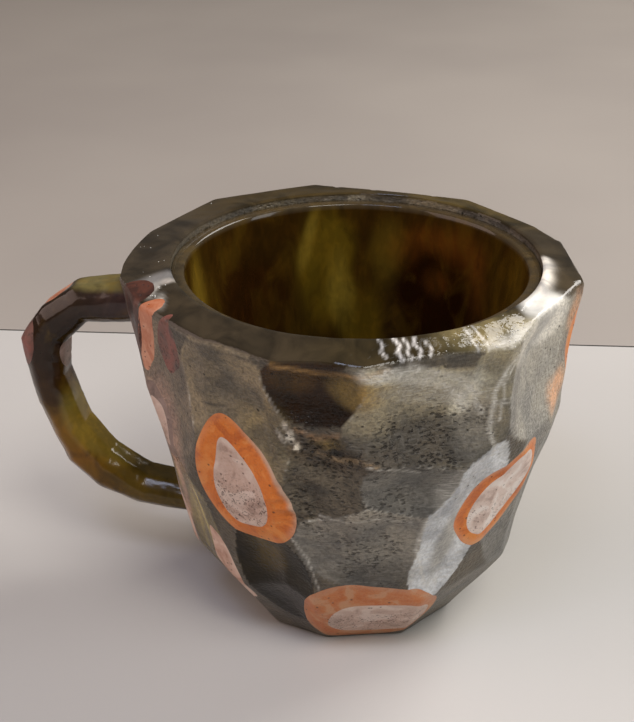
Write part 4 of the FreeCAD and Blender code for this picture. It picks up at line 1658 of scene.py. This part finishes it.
@dataclass(frozen=True)
class Pebble:
    """Stone with a rind and a paler core, sawn through where the wall is ground."""

    name: str
    dip: float
    depth: float
    outer: Outline
    inner: Outline
    rind: str = "orange"
    rind_slot: str = "orange_rind"
    pale_side: float | None = None
    heart: str = "core"

    def build(self, blank: bpy.types.Object, finishes: Finishes) -> bpy.types.Object:
        """Cut the rind and core out of the blank and dress them.

        Args:
            blank: the casting before its pockets are cut.
            finishes: where the stone's materials come from.

        Returns:
            The whole stone, which the casting's pocket is cut with.
        """
        nodes = (f"{self.name}_rind", f"{self.name}_core")
        seat = Seat.on_wall(nodes, self.dip)
        stone = seat.stone(f"{self.name}_stone", self.outer, self.depth)
        heart = seat.stone(f"{self.name}_heart", self.inner, self.depth * 0.7, 9.0)
        flush = joined(blank, stone, Join.SHARE, f"{self.name}_flush")
        rind = joined(flush, heart, Join.CUT, f"{self.name}_rind_stone")
        core = joined(flush, heart, Join.SHARE, f"{self.name}_core_stone")
        self._dress(rind, seat, self.outer, rind=True)
        self._dress(core, seat, self.inner, rind=False)
        finish_piece(rind, finishes.get(self.rind), self.rind_slot, nodes[0])
        finish_piece(core, finishes.get(self.heart), "pale_core", nodes[1])
        discard(heart, flush)
        return stone

    def _dress(self, piece: bpy.types.Object, seat: Seat, outline: Outline, rind: bool) -> None:
        """Store how near the stone's edge each vertex is, and how porous the stone is there.

        Args:
            piece: the rind or the core.
            seat: where the stone sits.
            outline: the piece's own outline.
            rind: whether the piece is the rind, whose edge is pale on one side only.
        """
        flat = seat.flat_spots(points_of(piece))
        edge = outline.edge(np.arange(STONE_AROUND) * 2 * np.pi / STONE_AROUND)
        centre = edge.mean(axis=0)
        edge_turn = np.arctan2(edge[:, 1] - centre[1], edge[:, 0] - centre[0])
        edge_reach = np.hypot(edge[:, 0] - centre[0], edge[:, 1] - centre[1])
        order = np.argsort(edge_turn)
        turn = np.arctan2(flat[:, 1] - centre[1], flat[:, 0] - centre[0])
        reach = np.interp(turn, edge_turn[order], edge_reach[order], period=2 * np.pi)
        share = np.hypot(flat[:, 0] - centre[0], flat[:, 1] - centre[1]) / reach
        if rind:
            sides = np.ones(len(flat)) * 0.35
            if self.pale_side is not None:
                sides = 0.15 + 0.95 * smooth(0.2, 0.9, np.cos(turn - math.radians(self.pale_side)))
            set_number(piece, "edge", smooth(0.84, 0.97, share) * sides)
            set_number(piece, "porous", np.full(len(flat), 0.25))
        else:
            set_number(piece, "edge", smooth(0.75, 1.0, share) * 0.5)
            low = smooth(0.35, -0.25, flat[:, 1] / outline.half_height)
            set_number(piece, "porous", 0.15 + 0.85 * low)


@dataclass(frozen=True)
class WallChip:
    """Single stone set flush in the wall."""

    name: str
    dip: float
    depth: float
    outline: Outline
    finish: str
    slot: str
    porous: float = 0.3

    def build(self, blank: bpy.types.Object, finishes: Finishes) -> bpy.types.Object:
        """Cut the chip out of the blank and dress it.

        Args:
            blank: the casting before its pockets are cut.
            finishes: where the chip's material comes from.

        Returns:
            The whole stone, which the casting's pocket is cut with.
        """
        seat = Seat.on_wall((self.name,), self.dip)
        stone = seat.stone(f"{self.name}_whole", self.outline, self.depth)
        chip = joined(blank, stone, Join.SHARE, f"{self.name}_stone")
        count = len(chip.data.vertices)
        low = smooth(0.5, -0.3, seat.flat_spots(points_of(chip))[:, 1] / self.outline.half_height)
        set_number(chip, "edge", np.zeros(count))
        set_number(chip, "porous", self.porous * (0.3 + 0.7 * low))
        finish_piece(chip, finishes.get(self.finish), self.slot, self.name)
        return stone


@dataclass(frozen=True)
class HandleChip:
    """Single stone set flush in the handle."""

    name: str
    half_size: tuple[float, float, float]
    finish: str
    slot: str

    def build(self, blank: bpy.types.Object, finishes: Finishes) -> bpy.types.Object:
        """Cut the chip out of the handle's blank and dress it.

        Args:
            blank: the handle before its pockets are cut.
            finishes: where the chip's material comes from.

        Returns:
            The whole stone, which the handle's pocket is cut with.
        """
        low, high = (np.array(corner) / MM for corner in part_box(self.name))
        work = bmesh.new()
        bmesh.ops.create_icosphere(work, subdivisions=5, radius=1.0)
        mesh = bpy.data.meshes.new(f"{self.name}_whole")
        work.to_mesh(mesh)
        work.free()
        stone = bpy.data.objects.new(f"{self.name}_whole", mesh)
        bpy.context.scene.collection.objects.link(stone)
        unit = points_of(stone) * MM
        grow = 1 + 0.12 * Grain(5).at(unit * 10, 9.0, 2)
        set_points(stone, (low + high) / 2 + unit * np.array(self.half_size) * grow[:, None])
        chip = joined(blank, stone, Join.SHARE, f"{self.name}_stone")
        count = len(chip.data.vertices)
        set_number(chip, "edge", np.zeros(count))
        set_number(chip, "porous", np.full(count, 0.4))
        finish_piece(chip, finishes.get(self.finish), self.slot, self.name)
        return stone


# Outlines give half width, half height, roll, point, wobble, seed, right, up and square.
PEBBLES = (
    Pebble(
        "front_left", 10, 6.0,
        outer=Outline(15.4, 17.2, 10, 0.46, 0.05, 3, 1.6, 1.6),
        inner=Outline(9.4, 12.0, 12, 0.62, 0.05, 4, 0.8, 0.6),
        pale_side=20,
    ),
    Pebble(
        "front_low", 30, 5.8,
        outer=Outline(17.6, 14.0, -3, 0.12, 0.05, 6, square=2.6),
        inner=Outline(12.8, 8.8, -2, 0.1, 0.06, 7, 2.6, -2.6, 2.8),
        rind="brown_rind",
    ),
    Pebble(
        "front_right", 14, 5.8,
        outer=Outline(10.6, 14.8, -32, 0.2, 0.05, 9, 0.6, 2.0),
        inner=Outline(7.2, 11.8, -32, 0.15, 0.06, 10, 1.4, 2.2),
        heart="core_light",
    ),
    Pebble(
        "side_right", 4, 6.2,
        outer=Outline(11.0, 14.6, 6, 0.15, 0.06, 12),
        inner=Outline(6.8, 9.6, 6, 0.1, 0.06, 13),
    ),
    Pebble(
        "rear_right", 8, 6.6,
        outer=Outline(14.0, 16.0, 0, 0.1, 0.06, 15),
        inner=Outline(9.2, 10.2, 0, 0.1, 0.07, 16, 0.8),
    ),
    Pebble(
        "rear_low", 26, 6.0,
        outer=Outline(10.5, 17.0, 70, 0.2, 0.05, 18),
        inner=Outline(6.5, 11.8, 70, 0.2, 0.06, 19),
    ),
    Pebble(
        "rear_left", 6, 7.2,
        outer=Outline(12.5, 14.5, 10, 0.2, 0.06, 21),
        inner=Outline(8.0, 9.0, 10, 0.1, 0.06, 22, -0.6, 0.4),
        rind="brown_rind",
    ),
    Pebble(
        "side_left", 12, 5.4,
        outer=Outline(6.0, 10.0, 6, 0.2, 0.07, 24),
        inner=Outline(3.6, 6.6, 6, 0.1, 0.08, 25),
        rind="pink_grey", rind_slot="pink_grey_stone",
    ),
    Pebble(
        "low_left", 18, 5.8,
        outer=Outline(5.6, 14.5, 10, 0.2, 0.08, 27, -2.4),
        inner=Outline(3.2, 10.2, 10, 0.1, 0.08, 28, -2.4),
        rind="pale_pink",
    ),
)

WALL_CHIPS = (
    WallChip(
        "joint_chip", 5, 5.4,
        Outline(6.0, 11.5, -4, 0.0, 0.08, 31, 2.2, 4.2, 2.8), "plum", "plum_stone",
    ),
    WallChip(
        "joint_stripe_chip", 5, 5.0,
        Outline(2.6, 11.5, -14, 0.0, 0.12, 33, 2.2, 6.0, 3.2), "peach", "peach_stone",
    ),
    WallChip(
        "rim_chip", 4, 4.8,
        Outline(4.6, 7.6, -8, 0.3, 0.10, 35, 0.6, 2.4), "russet", "russet_stone", porous=1.0,
    ),
    WallChip(
        "tail_chip", 32, 4.4,
        Outline(2.9, 13.0, 14, -0.2, 0.10, 37, 0.4, 1.2), "pale_pink", "peach_stone",
    ),
)

HANDLE_CHIPS = (
    HandleChip("handle_top_chip", (5.6, 4.4, 4.2), "peach", "peach_stone"),
    HandleChip("handle_corner_chip", (3.6, 4.2, 6.6), "russet", "russet_stone"),
    HandleChip("handle_inner_chip", (3.2, 4.6, 5.6), "pink_grey", "pink_grey_stone"),
)


@dataclass(frozen=True)
class Beads:
    """Small trapped bubbles on the polished rim, drawn as matt pale beads that also paint its glints."""

    density: float = 9.0e5  # beads on a square metre
    smallest: float = 0.07
    largest: float = 0.19
    seed: int = 4

    def build(self, rim: bpy.types.Object, material: bpy.types.Material) -> bpy.types.Object:
        """Scatter beads over a surface with Geometry Nodes and turn them into a plain mesh.

        Args:
            rim: the surface; its "bead" attribute says where beads may stand.
            material: what the beads are made of.

        Returns:
            One mesh object that holds every bead.
        """
        tree = bpy.data.node_groups.new("bead_scatter", "GeometryNodeTree")
        face = tree.interface
        face.new_socket("Geometry", in_out="INPUT", socket_type="NodeSocketGeometry")
        sockets = {}
        for label, kind, value in (
            ("Density", "NodeSocketFloat", self.density),
            ("Smallest", "NodeSocketFloat", self.smallest * MM),
            ("Largest", "NodeSocketFloat", self.largest * MM),
            ("Seed", "NodeSocketInt", self.seed),
        ):
            socket = face.new_socket(label, in_out="INPUT", socket_type=kind)
            sockets[socket.identifier] = value
        face.new_socket("Geometry", in_out="OUTPUT", socket_type="NodeSocketGeometry")
        given = add(tree, "NodeGroupInput").outputs
        where = add(tree, "GeometryNodeInputNamedAttribute", {"Name": "bead"}, data_type="FLOAT")
        factors = {0: given["Density"], 1: where.outputs["Attribute"]}
        density = add(tree, "ShaderNodeMath", factors, operation="MULTIPLY")
        spread = {"Mesh": given["Geometry"], "Density": density.outputs[0], "Seed": given["Seed"]}
        points = add(tree, "GeometryNodeDistributePointsOnFaces", spread)
        bead = add(tree, "GeometryNodeMeshIcoSphere", {"Radius": 1.0, "Subdivisions": 1})
        sizes = {2: given["Smallest"], 3: given["Largest"], "Seed": given["Seed"]}
        size = add(tree, "FunctionNodeRandomValue", sizes, data_type="FLOAT")
        stood = {"Points": points.outputs["Points"], "Instance": bead.outputs["Mesh"]}
        placed = add(tree, "GeometryNodeInstanceOnPoints", stood | {"Scale": size.outputs[1]})
        real = add(tree, "GeometryNodeRealizeInstances", {"Geometry": placed.outputs["Instances"]})
        skin = {"Geometry": real.outputs["Geometry"], "Material": material}
        dressed = add(tree, "GeometryNodeSetMaterial", skin)
        add(tree, "NodeGroupOutput", {"Geometry": dressed.outputs["Geometry"]})
        modifier = rim.modifiers.new("beads", "NODES")
        modifier.node_group = tree
        for identifier, value in sockets.items():
            modifier[identifier] = value
        mesh = evaluated_mesh(rim)
        rim.modifiers.remove(modifier)
        beads = bpy.data.objects.new("rim_glints", mesh)
        bpy.context.scene.collection.objects.link(beads)
        return beads


# Studio --------------------------------------------------------------------------------------


@dataclass(frozen=True)
class Softbox:
    """Soft lamp: where it is from the mug's middle, its size, power and colour."""

    name: str
    bearing: float
    elevation: float
    distance: float
    width: float
    height: float
    power: float
    colour: str

    def build(self, target: Vector) -> None:
        """Hang the lamp and aim it.

        Args:
            target: point that it faces, in metres.
        """
        lamp = bpy.data.lights.new(self.name, "AREA")
        lamp.shape = "RECTANGLE"
        lamp.size, lamp.size_y = self.width, self.height
        lamp.energy = self.power
        lamp.color = linear(self.colour)[:3]
        turn, lift = math.radians(self.bearing), math.radians(self.elevation)
        level = math.cos(lift)
        way = Vector((math.cos(turn) * level, math.sin(turn) * level, math.sin(lift)))
        thing = bpy.data.objects.new(self.name, lamp)
        thing.location = target + way * self.distance
        thing.rotation_euler = way.to_track_quat("Z", "Y").to_euler()
        bpy.context.scene.collection.objects.link(thing)


@dataclass(frozen=True)
class Studio:
    """Table, wall, lamps and camera."""

    lens: float = 65.0
    sensor: float = 36.0
    azimuth: float = 9.0
    elevation: float = 27.06
    distance_m: float = 0.3187
    aim_right_m: float = -0.0092
    aim_height_m: float = 0.0629
    seam_m: float = 0.140
    seam_gap_m: float = 0.001
    seam_turn: float = 3.5
    floor_m: float = 1.6  # from the mug to each edge of the floor
    lamps: tuple[Softbox, ...] = (
        Softbox("window", 44, 38, 1.1, 0.6, 0.6, 10.0, "#fffaf4"),
        Softbox("sky", 254, 62, 0.9, 0.30, 0.22, 1.8, "#d5e0ff"),
        Softbox("ceiling", 306, 58, 1.1, 0.40, 0.40, 5.4, "#fffaf2"),
        Softbox("side_pane", 348, 26, 0.9, 0.25, 0.5, 1.3, "#ffffff"),
        Softbox("pane", 76, 60, 1.0, 0.02, 0.22, 0.05, "#ffffff"),
        Softbox("room", 195, 28, 1.2, 1.2, 0.9, 6.5, "#ffe0d4"),
    )
    world: str = "#a8a39c"
    world_strength: float = 0.26

    def build(self) -> None:
        """Set everything round the mug."""
        low, high = CAD_BOX
        self._floor(low.z)
        for lamp in self.lamps:
            lamp.build((low + high) / 2)
        self._world()
        self._camera()
        bpy.context.scene.view_settings.view_transform = "Standard"

    def _floor(self, level: float) -> None:
        """Pale table top in front, and a warm grey board lying behind it at the same level.

        Args:
            level: height of both, in metres.
        """
        turn = math.radians(self.azimuth - self.seam_turn)
        right = Vector((math.cos(turn), math.sin(turn), 0))
        away = Vector((-math.sin(turn), math.cos(turn), 0))
        table = Plaster("white_table", "#c0bebb", "#b6b3af").material()
        board = Plaster("grey_board", "#a39c95", "#99928c").material()
        strips = {
            "table_top": (-self.floor_m, self.seam_m, table),
            "grey_board": (self.seam_m + self.seam_gap_m, self.floor_m, board),
        }
        for name, (near, far, material) in strips.items():
            corners = ((-1, near), (1, near), (1, far), (-1, far))
            spots = [right * (side * self.floor_m) + away * reach for side, reach in corners]
            points = np.array([spot + Vector((0, 0, level)) for spot in spots]) / MM
            sheet = mesh_object(name, points, [(0, 1, 2, 3)])
            sheet.data.materials.append(material)

    def _world(self) -> None:
        """Even light from all round."""
        world = bpy.data.worlds.new("room_light")
        world.use_nodes = True
        back = world.node_tree.nodes["Background"]
        back.inputs["Color"].default_value = linear(self.world)
        back.inputs["Strength"].default_value = self.world_strength
        bpy.context.scene.world = world

    def _camera(self) -> None:
        """Camera above the front, a little to the right."""
        camera = bpy.data.cameras.new("camera")
        camera.lens, camera.sensor_width = self.lens, self.sensor
        turn, lift = math.radians(self.azimuth), math.radians(self.elevation)
        right = Vector((math.cos(turn), math.sin(turn), 0))
        level = math.cos(lift)
        back = Vector((math.sin(turn) * level, -math.cos(turn) * level, math.sin(lift)))
        aim = right * self.aim_right_m + Vector((0, 0, self.aim_height_m))
        thing = bpy.data.objects.new("camera", camera)
        thing.location = aim + back * self.distance_m
        thing.rotation_mode = "QUATERNION"
        thing.rotation_quaternion = (-back).to_track_quat("-Z", "Y")
        camera.clip_start, camera.clip_end = 0.01, 10.0
        bpy.context.scene.collection.objects.link(thing)
        bpy.context.scene.camera = thing


# Assembly ------------------------------------------------------------------------------------


def cut_pockets(blank: bpy.types.Object, tools: Sequence[bpy.types.Object], name: str) -> bpy.types.Object:
    """Cut every tool out of the blank, which is used up along with the tools.

    Args:
        blank: the mesh to cut.
        tools: the meshes that cut it, in order.
        name: name of what is left.

    Returns:
        The cut mesh.
    """
    for index, tool in enumerate(tools):
        cut = joined(blank, tool, Join.CUT, f"{name}_{index}")
        discard(blank, tool)
        blank = cut
    blank.name = name
    return blank


def main() -> None:
    """Build every sub-assembly in order, then the studio."""
    logging.basicConfig(level=logging.INFO, format="%(name)s: %(message)s")
    finishes = Finishes()
    maker = MugBody(Wall())
    blank = maker.build()
    stones = [piece.build(blank, finishes) for piece in PEBBLES + WALL_CHIPS]

    loop = Handle()
    loop_blank = loop.build()
    loop_stones = [chip.build(loop_blank, finishes) for chip in HANDLE_CHIPS]
    mortised = joined(blank, loop_blank, Join.CUT, "mug_body_mortised")
    body = cut_pockets(mortised, stones, "mug_body_resin")
    discard(blank)
    maker.dress(body)
    # Matt pale beads on the rim: trapped bubbles, and painted glints.
    beads = Beads().build(body, finishes.get("bead"))
    finish_piece(beads, finishes.get("bead"), "smoky_resin")
    finish_piece(body, finishes.get("body"), "smoky_resin", "mug_body")
    handle = cut_pockets(loop_blank, loop_stones, "handle_resin")
    loop.dress(handle)
    finish_piece(handle, finishes.get("handle"), "amber_resin", "handle")

    cup_maker = LinerCup()
    cup = cup_maker.build()
    cup_maker.dress(cup)
    finish_piece(cup, finishes.get("liner"), "liner_resin", "liner_cup")

    Studio().build()


if __name__ == "__main__":
    main()
